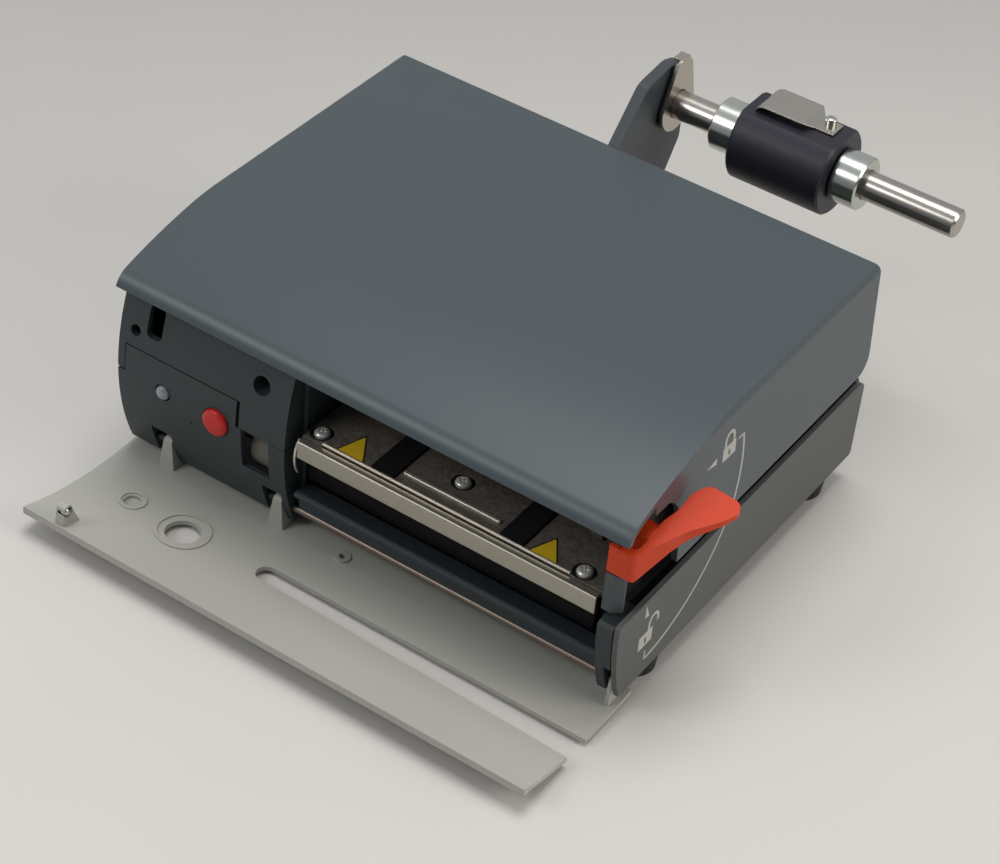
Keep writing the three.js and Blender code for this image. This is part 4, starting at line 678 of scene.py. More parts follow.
@dataclass
class Cover:
    """The lid: one drafted shell with a rounded nose, hinged on its left side."""

    width: float = 230.0
    rear: float = 171.4
    bottom: float = 43.0
    top: float = 91.0
    wall: float = 2.4
    flat_start: float = 80.0
    nose_drop: float = 12.0
    nose_power: float = 2.2
    nose_reach: float = 5.0
    nose_radius: float = 9.0
    nose_steps: int = 40
    lip_height: float = 73.0
    draft: float = 2.6
    draft_angle: float = 6.0
    edge_radius: float = 3.0
    slot_share: float = 0.95
    corner_radius: float = 8.0
    wall_front: float = 32.0
    hinge: Point = (6.0, 45.0)
    knuckles: tuple[float, ...] = (44.0, 140.0)
    knuckle_length: float = 16.0
    knuckle_radius: float = 3.0
    pin_radius: float = 1.5

    def side_outline(self, inset: float, bottom: float) -> Outline:
        """The outline seen from the side, moved inwards by an inset."""
        top = self.top - inset
        centre_y = self.nose_radius - self.nose_reach
        tilt = math.atan2(self.nose_drop * self.nose_power, self.flat_start - centre_y)
        centre_z = self.top - self.nose_drop - self.nose_radius * math.cos(tilt)
        radius = self.nose_radius - inset
        end = centre_y - radius * math.sin(tilt)
        drop = top - centre_z - radius * math.cos(tilt)
        shares = [i / self.nose_steps for i in range(self.nose_steps)]
        slope = [(self.flat_start + (end - self.flat_start) * t, top - drop * t ** self.nose_power)
                 for t in shares]
        low = 180 - math.degrees(math.asin((self.lip_height - centre_z) / radius))
        return [(self.rear - inset, bottom), (self.rear - inset, top), *slope,
                *arc(centre_y, centre_z, radius, 90 + math.degrees(tilt), low),
                (centre_y - radius + GAP, bottom)]

    def end_outline(self, inset: float, bottom: float) -> Outline:
        """The outline seen from the front: drafted sides and round long edges."""
        left, right, top = inset, self.width - inset, self.top - inset
        radius = max(self.edge_radius - inset, self.edge_radius / 4)
        return [(left, bottom), (right, bottom), (right - self.draft, top - radius),
                *arc(right - self.draft - radius, top - radius, radius, self.draft_angle, 90),
                *arc(left + self.draft + radius, top - radius, radius, 90, 180 - self.draft_angle),
                (left + self.draft, top - radius)]

    def shell(self) -> Shape:
        """The shell with the lever's slot, the cheek's room and the hinge knuckles."""
        far = 2 * self.nose_reach
        depth = self.rear + GAP
        below = self.bottom - OVERRUN
        outer = Shape.prism(self.side_outline(0, self.bottom), 0, self.width).common(
            Shape.prism(self.end_outline(0, self.bottom), -far, depth, Axis.Y))
        hollow = Shape.prism(self.side_outline(self.wall, below), 0, self.width).common(
            Shape.prism(self.end_outline(self.wall, below), -far, depth, Axis.Y))
        past = self.width + OVERRUN
        tools = [
            hollow,
            Shape.box(-OVERRUN, past, -far, 0, below, self.lip_height),
            Shape.box(-OVERRUN, self.width / 2, -far, self.wall_front, below, self.lip_height),
            self.lever_room(),
            Shape.box(-OVERRUN, past, self.rear - self.corner_radius, depth, below,
                      self.bottom + self.corner_radius).cut(
                Shape.rod(Axis.X, self.rear - self.corner_radius, self.bottom + self.corner_radius,
                          self.corner_radius, -far, past + far)),
        ]
        body = outer.cut(*tools)
        hx, hz = self.hinge
        for start in self.knuckles:
            end = start + self.knuckle_length
            body = body.join(
                Shape.rod(Axis.Y, hx, hz, self.knuckle_radius, start, end),
                Shape.box(self.wall / 2, hx, start, end, hz, hz + 2 * self.knuckle_radius))
        notches = [Shape.box(-OVERRUN, hx, low - 2 * GAP, high + 2 * GAP, below,
                             hz + self.knuckle_radius + OVERRUN) for low, high in self.ears()]
        return body.cut(*notches, Shape.rod(Axis.Y, hx, hz, self.pin_radius + GAP, 0, self.rear))

    def lever_room(self) -> Shape:
        """The opening in the right wall that the lever's cap and hub turn in."""
        y, z = HeadLever.PIVOT
        start, past = self.width * self.slot_share, self.width + OVERRUN
        far, below = 2 * self.nose_reach, self.bottom - OVERRUN
        reach = HeadLever.ROOM
        ahead = Shape.box(start, past, -far, HeadLever.WALL_START, below, self.top)
        hump = Shape.rod(Axis.X, y, z, reach, start, past).common(
            Shape.box(start, past, -far, y + reach, z - OVERRUN, HeadLever.ROOM_TOP))
        under = Shape.box(start, past, -far, y + reach, below, z)
        return ahead.join(hump, under).common(Shape.prism(self.side_outline(self.wall, below), start, past))

    def ears(self) -> list[Point]:
        """Where the ears that carry the pin stand, as (from, to) along the body."""
        found = []
        for start in self.knuckles:
            end = start + self.knuckle_length
            found += [(start - GAP - self.knuckle_radius, start - GAP),
                      (end + GAP, end + GAP + self.knuckle_radius)]
        return found

    def wall_x(self, z: float) -> float:
        """How far right the drafted right wall stands at a height."""
        return self.width - self.draft * (z - self.bottom) / (self.top - self.edge_radius - self.bottom)

    def build(self, bench: Bench) -> None:
        """Places the lid and its hinge pin."""
        bench.place("cover_shell", self.shell(), "lid", "cover_slate", "top_cover", bevel=0.5, segments=2)
        hx, hz = self.hinge
        reach = self.knuckle_length / 2
        pin = Shape.rod(Axis.Y, hx, hz, self.pin_radius, self.knuckles[0] - reach,
                        self.knuckles[1] + self.knuckle_length + reach)
        bench.place("cover_pin", pin, "frame", "shaft_steel", "cover_hinge_pin", bevel=0.3)


@dataclass
class Housing:
    """The left housing: two curved mouldings with the button, the light, the window and a sunk screw."""

    left: float = 1.0
    right: float = 81.2
    top: float = 71.5
    bottom: float = -5.0
    seam: float = 46.0
    split: float = 34.6
    slit: float = 59.2
    cheek: float = 27.0
    cheek_low: float = -1.0
    bulge: float = 3.6
    window: Triple = (60.6, 73.6, 16.0)
    catch_x: float = 17.0
    catch_width: float = 7.2
    catch_heights: Point = (53.5, 67.0)
    notches: tuple[Point, ...] = ((14.8, 24.6), (68.9, 78.0))
    notch_height: float = 10.0
    screw: Point = (67.8, 57.2)
    screw_radius: float = 2.0
    sink_radius: float = 3.9
    sink_depth: float = 7.0
    sink_wall: float = 1.8
    head_height: float = 2.4
    head_rim: tuple[Point, ...] = ((0.7, 0.0), (0.92, 0.5), (1.0, 1.2))
    head_slot: Point = (0.5, 2.2)
    slot_depth: float = 1.3
    pin: Point = (8.3, 53.6)
    pin_radius: float = 2.4
    strip_right: float = 4.2
    strip_low: float = 34.6
    button: Point = (48.8, 31.8)
    button_radius: float = 5.8
    button_proud: float = 2.4
    button_dome: float = 1.9
    button_fullness: float = 0.6
    button_stem: Point = (2.5, 9.0)
    light: Point = (23.0, 32.3)
    light_radius: float = 3.0
    light_proud: float = 1.7
    light_depth: float = 5.0
    pinhole: Triple = (36.6, 24.5, 0.5)
    wheel_room: Triple = (61.2, 78.3, 14.0)
    shaft_start: float = 64.5

    def wall(self, low: float, high: float, start: float, end: float) -> Shape:
        """A stretch of the curved front wall."""
        line = swell(self.bulge, low, high)
        return Shape.prism([*line, *[(y + WALL, z) for y, z in reversed(line)]], start, end)

    def cheek_wall(self, x: float, low: float, high: float) -> Shape:
        """One of the flat side walls behind the front."""
        line = swell(self.bulge, low, high)
        floor = [(self.cheek, max(low, self.cheek_low)), (-low, low)] if low < 0 else [(self.cheek, low)]
        return Shape.prism([*line, (self.cheek, high), *floor], x, x + WALL)

    def spot(self, x: float, z: float) -> Triple:
        """The point of the curved front at a place seen from the front."""
        return x, swell_at(self.bulge, z), z

    def bores(self) -> list[Shape]:
        """The room for the thumbwheel, the roller's shaft and the flap's rod."""
        y, z = Roller.AXIS
        start, end, radius = self.wheel_room
        past = self.right + OVERRUN
        return [Shape.rod(Axis.X, y, z, radius, start, end),
                Shape.rod(Axis.X, y, z, SHAFT_BORE, self.shaft_start, past),
                Shape.rod(Axis.X, *ROD_AXIS, ROD_BORE, self.left + WALL, past)]

    def lower(self) -> Shape:
        """The lower moulding."""
        rim = 4 * WALL
        past = self.right + OVERRUN
        tools = [
            Shape.box(self.slit - 4 * GAP, past, -rim, self.cheek + OVERRUN, self.split - GAP,
                      self.seam + OVERRUN),
            Shape.box(self.window[0], self.window[1], -rim, rim, self.window[2], self.seam),
            *[Shape.box(start, end, -rim, rim, self.bottom - OVERRUN, self.notch_height)
              for start, end in self.notches],
            Shape.rod(Axis.Y, *self.button, self.button_radius + GAP, -rim, rim),
            Shape.rod(Axis.Y, *self.light, self.light_radius + 2 * GAP, -rim, rim),
            Shape.rod(Axis.Y, *self.pinhole, -rim, 0),
            Shape.box(self.left - OVERRUN, self.strip_right + GAP, -rim, self.cheek + OVERRUN,
                      self.strip_low - 3 * GAP, self.seam + OVERRUN),
            *self.bores(),
        ]
        front = self.wall(self.bottom, self.seam, self.left, self.right)
        return front.join(self.cheek_wall(self.left, self.bottom, self.seam),
                          self.cheek_wall(self.right - WALL, self.bottom, self.seam)).cut(*tools)

    def upper(self) -> Shape:
        """The upper moulding, with its tongue that reaches down to the window."""
        low = self.seam + 2 * GAP
        rim = 4 * WALL
        roof_line = swell(self.bulge, self.top - WALL, self.top)
        roof = Shape.prism([*roof_line, (self.cheek, self.top), (self.cheek, self.top - WALL)],
                           self.left, self.right)
        place = self.spot(*self.screw)
        boss_radius, deep = self.sink_radius + self.sink_wall, self.sink_depth + self.sink_wall
        boss = Shape.turned([(0, WALL / 2), (boss_radius, WALL / 2), (boss_radius, deep), (0, deep)], place,
                            Toward.BACK)
        body = self.wall(low, self.top, self.left, self.right).join(
            self.wall(self.strip_low, self.seam + OVERRUN, self.left, self.strip_right),
            self.wall(self.split, self.seam + OVERRUN, self.slit + GAP, self.right), roof, boss,
            self.cheek_wall(self.left, self.strip_low, self.top),
            self.cheek_wall(self.right - WALL, self.split, self.top))
        half = self.catch_width / 2
        thread, end = self.screw_radius + GAP, deep + WALL
        sink = Shape.turned([(0, -WALL), (self.sink_radius, -WALL), (self.sink_radius, self.sink_depth),
                             (thread, self.sink_depth), (thread, end), (0, end)], place, Toward.BACK)
        return body.cut(
            Shape.prism(rounded(self.catch_x - half, self.catch_x + half, *self.catch_heights,
                                self.catch_width / 3), -rim, rim, Axis.Y),
            sink, Shape.rod(Axis.Y, *self.pin, self.pin_radius, -rim, WALL / 2), *self.bores())

    def button_cap(self) -> Shape:
        """The feed button: a domed cap on its stem and flange."""
        r, out = self.button_radius, self.button_proud
        stem, depth = self.button_stem
        flange, flange_radius = -WALL - 3 * GAP, r + GAP + OVERRUN
        crown = dome(r, self.button_dome, out - self.button_dome, self.button_fullness)
        profile = [(0, -depth), (stem, -depth), (stem, flange - OVERRUN), (flange_radius, flange - OVERRUN),
                   (flange_radius, flange), (r, flange), *crown, (0, out)]
        return Shape.turned(profile, self.spot(*self.button), Toward.FRONT)

    def light_lens(self) -> Shape:
        """The status light: a small clear dome."""
        r, depth = self.light_radius, self.light_depth
        crown = dome(r, self.light_proud, steps=9)
        return Shape.turned([(0, -depth), (r, -depth), *crown, (0, self.light_proud)],
                            self.spot(*self.light), Toward.FRONT)

    def sunk_screw(self) -> Shape:
        """The pan-head screw at the bottom of its sink, with a cross recess."""
        x, face, z = self.spot(*self.screw)
        seat = self.sink_depth - GAP
        edge, top = self.sink_radius - 2 * GAP, seat - self.head_height
        rim = [(edge * share, top + drop) for share, drop in self.head_rim]
        end = self.sink_depth + 3 * self.sink_wall
        head = Shape.turned([(0, top), *rim, (edge, seat), (self.screw_radius, seat),
                             (self.screw_radius, end), (0, end)], (x, face, z), Toward.BACK)
        return head.cut(*Shape.cross(x, z, self.head_slot, face + top - OVERRUN,
                                     face + top + self.slot_depth, Axis.Y))

    def build(self, bench: Bench) -> None:
        """Places both mouldings, the button, the light and the screw."""
        bench.place("housing_lower", self.lower(), "frame", "panel_dark", "lower_front_panel", bevel=0.2)
        bench.place("housing_upper", self.upper(), "frame", "panel_dark", "upper_front_housing", bevel=0.2)
        bench.place("feed_button_cap", self.button_cap(), "button", "button_red", "feed_button", angle=40)
        bench.place("status_lens", self.light_lens(), "frame", "light_clear", "status_light_pipe",
                    angle=40)
        bench.place("sunk_screw", self.sunk_screw(), "frame", "zinc", "housing_screw", bevel=0.15)


@dataclass
class Flap:
    """The front flap, drawn closed and turned open about its hinge."""

    hinge: Point = ROD_AXIS
    open_angle: float = 87.5
    left: float = 0.5
    right: float = 229.0
    top: float = 64.0
    bottom: float = -6.0
    thickness: float = 2.0
    reach: float = 7.6
    radius: float = 150.0
    middle: float = 21.0
    rod_radius: float = 1.6
    rod_ends: Triple = (3.9, 80.0, 227.6)
    eye_radius: float = 3.6
    arms: tuple[Triple, ...] = ((21.4, 7.4, 3.6), (75.0, 7.4, 3.6), (225.6, 1.6, 1.2))
    lip: float = 1.2
    lip_height: float = 3.0
    slot: Quad = (85.0, 24.3, 32.9, 36.5)
    hole: Triple = (50.6, 30.8, 7.0)
    lens: Triple = (24.4, 29.2, 3.4)
    lens_depth: float = 1.5
    beads: tuple[Triple, ...] = ((50.6, 30.8, 11.0), (24.4, 29.2, 5.6))
    bead_width: float = 1.2
    bead_height: float = 0.6
    boss: Quad = (105.6, 3.4, 3.2, 1.4)
    boss_share: float = 0.35
    lug_x: float = 17.5
    lug_width: float = 4.0
    lug_length: float = 7.8
    lug_height: float = 58.0
    lug_depth: float = 8.4
    ball_radius: float = 2.0
    ball_travel: float = 0.8
    ball_seat: Point = (0.9, 0.4)
    ball_rise: float = 0.95

    def face(self, z: float) -> float:
        """How far back the inner face stands at a height, drawn closed."""
        return self.radius - self.reach - math.sqrt(self.radius ** 2 - (z - self.middle) ** 2)

    def sheet(self, low: float, high: float, thickness: float) -> Shape:
        """A stretch of the curved sheet."""
        line = swell(self.reach, low, high, self.radius, self.middle)
        front = [(y - thickness, z) for y, z in line]
        return Shape.prism([*front, *reversed(line)], self.left, self.right)

    def arm(self, x: float, width: float, tip: float) -> Shape:
        """One hinge arm with its eye, tapering to a tip width."""
        y, z = self.hinge
        face = self.face(z)
        high = z + self.eye_radius
        start = face - self.thickness / 2
        points = [(start, z - self.eye_radius), (y, z - self.eye_radius),
                  *arc(y, z, self.eye_radius, -90, 60)[1:], (face, high), (start, high)]
        eye = Shape.rod(Axis.X, y, z, self.rod_radius + GAP, x - width, x + width)
        plan = [(x - width / 2, start), (x + width / 2, start), (x + tip / 2, y + self.eye_radius),
                (x - tip / 2, y + self.eye_radius)]
        taper = Shape.prism(plan, z - 2 * self.eye_radius, high + OVERRUN, Axis.Z)
        return Shape.prism(points, x - width / 2, x + width / 2).cut(eye).common(taper)

    def ball_place(self) -> Point:
        """The catch ball's centre, drawn closed."""
        return (self.face(self.lug_height) + self.lug_length - self.ball_radius / 2,
                self.lug_height + self.lug_depth / 4)

    def lug(self) -> Shape:
        """The catch lug that holds the ball."""
        face = self.face(self.lug_height)
        tip = self.lug_depth / 4
        points = [(face - self.thickness / 2, self.lug_height - self.lug_depth / 2),
                  (face + self.lug_length, self.lug_height),
                  *arc(face + self.lug_length, self.lug_height + tip, tip, -90, 90)[1:],
                  (face - self.thickness / 2, self.lug_height + self.lug_depth / 2 + OVERRUN)]
        return Shape.prism(points, self.lug_x - self.lug_width / 2, self.lug_x + self.lug_width / 2)

    def closed(self) -> Shape:
        """The whole flap, drawn closed."""
        deep = 12 * self.thickness
        x0, low, high, high_right = self.slot
        end = (high - low) / 2
        slot = Shape.prism([*arc(x0 + end, low + end, end, 90, 270), (self.right + OVERRUN, low),
                            (self.right + OVERRUN, high_right)], -deep, deep, Axis.Y)
        body = self.sheet(self.bottom, self.top, self.thickness).join(
            self.sheet(self.top - self.lip_height, self.top, self.thickness + self.lip), self.lug(),
            *[self.arm(*arm) for arm in self.arms])
        inner = swell(self.reach, self.bottom, self.top, self.radius, self.middle)
        raised = Shape.prism([*[(y - self.thickness / 2, z) for y, z in inner],
                              *[(y + self.bead_height, z) for y, z in reversed(inner)]],
                             self.left, self.right)
        beads = [Shape.rod(Axis.Y, x, z, ring, -deep, deep).cut(
            Shape.rod(Axis.Y, x, z, ring - self.bead_width, -2 * deep, 2 * deep)).common(raised)
                 for x, z, ring in self.beads]
        bx, bz, boss_radius, boss_hole = self.boss
        boss_ring = Shape.rod(Axis.Y, bx, bz, boss_radius, self.face(bz) - self.thickness / 2,
                              self.face(bz) + self.thickness * self.boss_share)
        y, z = self.ball_place()
        pocket = Shape.rod(Axis.X, y, z, self.ball_radius + GAP, self.lug_x - 2 * self.ball_travel + GAP,
                           self.lug_x + self.lug_width / 2 + OVERRUN)
        lens_floor = self.face(self.lens[1]) - self.lens_depth
        return body.join(boss_ring, *beads).cut(
            slot, Shape.rod(Axis.Y, *self.hole, -deep, deep), Shape.rod(Axis.Y, *self.lens, lens_floor, deep),
            Shape.rod(Axis.Y, bx, bz, boss_hole, -deep, deep), pocket)

    def opened(self, shape: Shape) -> Shape:
        """Turns what is drawn closed about the hinge."""
        place = Matrix.Translation((0, *self.hinge))
        turn = Matrix.Rotation(math.radians(self.open_angle), 4, "X")
        return shape.moved(place @ turn @ place.inverted())

    def ball(self) -> Shape:
        """The sprung ball's visible half with its seat."""
        r = self.ball_radius
        y, z = self.ball_place()
        start = self.lug_x - self.ball_travel + 2 * GAP
        seat, base = self.ball_seat
        profile = [(0, 0), (r * seat, 0), *dome(r, r * self.ball_rise, r * base, steps=9),
                   (0, r * (base + self.ball_rise))]
        return Shape.turned(profile, (start, y, z), Toward.RIGHT)

    def build(self, bench: Bench) -> None:
        """Places the flap, its ball and its rod."""
        bench.place("flap_panel", self.opened(self.closed()), "flap", "flap_grey", "front_flap", bevel=0.4)
        bench.place("flap_ball", self.opened(self.ball()), "catch", "zinc", "catch_ball", angle=40)
        start, bare, end = self.rod_ends
        bench.place("flap_rod", Shape.rod(Axis.X, *self.hinge, self.rod_radius, bare, end), "frame",
                    "rod_brown", "flap_hinge_rod", bevel=0.3)
        bench.place("flap_rod_left", Shape.rod(Axis.X, *self.hinge, self.rod_radius, start, bare), "frame",
                    "black_plastic")


@dataclass
class SideFrame:
    """The lower side panels, the inner frame plate and the lever's post."""

    width: float = 230.0
    depth: float = 172.0
    height: float = 37.0
    floor: float = -1.0
    bulge: float = 6.0
    panel: float = 2.1
    slit: float = 1.0
    plate: float = 6.6
    web: float = 3.0
    corner: float = 4.5
    rear_corner: float = 1.5
    bevel: float = 1.4
    bevel_shape: Triple = (0.2, 0.45, 1.2)
    plate_top: float = 34.5
    plate_bottom: float = -2.0
    plate_split: float = 10.0
    plate_heel: float = 5.0
    notch: Triple = (3.0, 8.2, 12.5)
    web_rear: float = 164.2
    bearing: float = 7.2
    hairline: float = 0.02
    left_front: float = 27.3
    ear_width: float = 16.0
    ear_top: float = 46.0
    pad_shares: tuple[Point, ...] = ((0.12, 0.22), (0.87, 0.22), (0.87, 0.76), (0.5, 0.76))
    post_right: float = 226.0
    post_sheet: float = 3.0
    post_depth: float = 3.5
    post_chamfer: float = 3.2
    post_low: float = 36.6
    post_inset: float = 0.2
    post_slope: float = 0.8
    post_web_foot: tuple[Point, ...] = ((20, 34.8), (10, 34.8))
    post_web_rear: float = 50.0
    bearing_radii: Point = (8.6, 7.0)

    def outline(self, bulge: float) -> Outline:
        """A side panel seen from the side."""
        radius = self.corner
        line = swell(bulge, self.floor, self.height - self.bevel)
        lean, drop, run = self.bevel_shape
        top = [(line[-1][0] + lean, self.height - self.bevel * drop),
               (-bulge + self.bevel * run, self.height)]
        return [*line, *top, *arc(self.depth - radius, self.height - radius, radius, 90, 0),
                *arc(self.depth - self.rear_corner, self.floor + self.rear_corner, self.rear_corner, 0, -90)]

    def outer(self) -> Shape:
        """The right-hand lower panel, with the pads that it stands off on."""
        inner = self.width - self.panel
        plate_right = inner - self.slit
        pads = [Shape.rod(Axis.X, y * self.depth, z * self.height, 2 * self.panel,
                          plate_right + GAP - self.plate / 2, inner + GAP) for y, z in self.pad_shares]
        rod = Shape.rod(Axis.X, *ROD_AXIS, ROD_BORE, 0, inner)
        return Shape.prism(self.outline(self.bulge), inner, self.width).join(*pads).cut(rod)

    def bores(self) -> list[Shape]:
        """The bores for the roller's shaft, the head's shaft and the flap's rod."""
        left = self.width - self.panel - self.slit - 3 * self.plate
        holes = ((Roller.AXIS, SHAFT_BORE), (HeadUnit.PIVOT, SHAFT_BORE), (ROD_AXIS, ROD_BORE))
        return [Shape.rod(Axis.X, *axis, radius, left, self.width) for axis, radius in holes]

    def plate_front(self) -> Shape:
        """The heavier front end of the inner frame plate."""
        plate_right = self.width - self.panel - self.slit
        top, low, cut = self.plate_top, self.plate_bottom, self.bevel
        line = swell(self.bulge - OVERRUN, low, top - cut)
        rear, (width, depth, height) = self.plate_split, self.notch
        front = Shape.prism([*line, (-self.bulge + OVERRUN + cut, top), (rear, top), (rear, low + cut),
                             (self.plate_heel, low)], plate_right - self.plate, plate_right)
        notch = Shape.box(plate_right - width, plate_right + OVERRUN, -3 * self.bulge, depth, low - OVERRUN,
                          height)
        return front.cut(notch, *self.bores())

    def plate_web(self) -> Shape:
        """The sheet behind that end, with the roller's bearing and the ear for the head's shaft, in black as
        painted shade of the gap between the lid and the lower panel.
        """
        plate_right = self.width - self.panel - self.slit
        left = plate_right - self.plate / 2 - self.web
        top, cut = self.plate_top, self.bevel
        half, y = self.ear_width / 2, HeadUnit.PIVOT[0]
        front, rear = self.plate_split + self.hairline, self.web_rear
        web = Shape.prism([(front, 0), (rear, 0), (rear, top), (y + half, top),
                           (y + half, self.ear_top - cut), (y + half - cut, self.ear_top),
                           (y - half + cut, self.ear_top), (y - half, self.ear_top - cut),
                           (y - half, top), (front, top)], left, left + self.web)
        bearing = Shape.rod(Axis.X, *Roller.AXIS, self.bearing, left - self.web / 2, plate_right).cut(
            Shape.box(left - self.web, self.width, -self.plate, front, 0, self.height))
        return web.join(bearing).cut(*self.bores())

    def left_panel(self, cover: Cover) -> Shape:
        """The left-hand lower panel with the ears for the lid's pin."""
        hx, hz = cover.hinge
        radius = cover.knuckle_radius
        plate = Shape.prism(self.outline(0), 0, WALL).common(
            Shape.box(-OVERRUN, WALL + OVERRUN, self.left_front, self.depth, self.floor * 2,
                      self.height + OVERRUN))
        for low, high in cover.ears():
            plate = plate.join(
                Shape.rod(Axis.Y, hx, hz, radius, low, high),
                Shape.box(WALL + GAP, hx + radius, low, high, self.height - 3 * WALL, hz),
                Shape.box(0, hx + radius, low, high, self.height - 3 * WALL, self.height - WALL))
        return plate.cut(Shape.rod(Axis.Y, hx, hz, cover.pin_radius + GAP / 2, 0, self.depth))

    def post(self) -> Shape:
        """The front plate of the post under the lever's cap."""
        front = HeadLever.CAP_FRONT + GAP
        left, right, cut = HeadLever.CAP_LEFT + self.post_inset, self.post_right, self.post_chamfer
        rear = front + self.post_depth
        plan = [(left, front), (right - cut, front), (right, front + self.post_slope * cut),
                (right, rear), (left, rear)]
        return Shape.prism(plan, self.post_low, HeadLever.CAP_BOTTOM - GAP, Axis.Z)

    def post_web(self) -> Shape:
        """The web behind it, with the bearings of the lever and of the cam shaft."""
        front, shoulder = HeadLever.CAP_FRONT + GAP, HeadLever.CAP_BOTTOM - GAP
        left = HeadLever.CAP_LEFT + self.post_inset
        right = left + self.post_sheet
        (y, z), (far, _) = HeadLever.PIVOT, HeadLever.CAM_AXIS
        wide, small = self.bearing_radii
        start = front + self.post_depth
        web = Shape.prism([(start, self.post_low), (start, shoulder), (y - wide, z), (y, z + wide),
                           (far, z + small), (far + small, z), (far + small, self.post_web_rear),
                           *self.post_web_foot, (self.post_web_foot[-1][0], self.post_low)], left, right)
        rings = [Shape.rod(Axis.X, v, z, radius, left, right) for v, radius in ((y, wide), (far, small))]
        bores = [Shape.rod(Axis.X, v, z, SHAFT_BORE, left - OVERRUN, right + OVERRUN) for v in (y, far)]
        return web.join(*rings).cut(*bores)

    def build(self, bench: Bench, cover: Cover) -> None:
        """Places both panels, the plate and the post, each with the piece behind it in black; behind the
        plate that black is painted shade.
        """
        bench.place("side_panel_right", self.outer(), "frame", "side_slate", "lower_side_panel", bevel=0.9,
                    segments=3)
        bench.place("frame_plate_end", self.plate_front(), "frame", "panel_dark", "right_frame_plate",
                    bevel=0.35)
        # Black web: painted shade seen through the gap between the lid and the lower panel.
        bench.place("frame_plate_web", self.plate_web(), "frame", "black_plastic", bevel=0.2)
        bench.place("side_panel_left", self.left_panel(cover), "frame", "panel_dark", "left_side_panel",
                    bevel=0.3)
        bench.place("lever_stand", self.post(), "frame", "post_slate", "lever_post", bevel=0.35)
        bench.place("lever_stand_web", self.post_web(), "frame", "black_plastic", bevel=0.2)


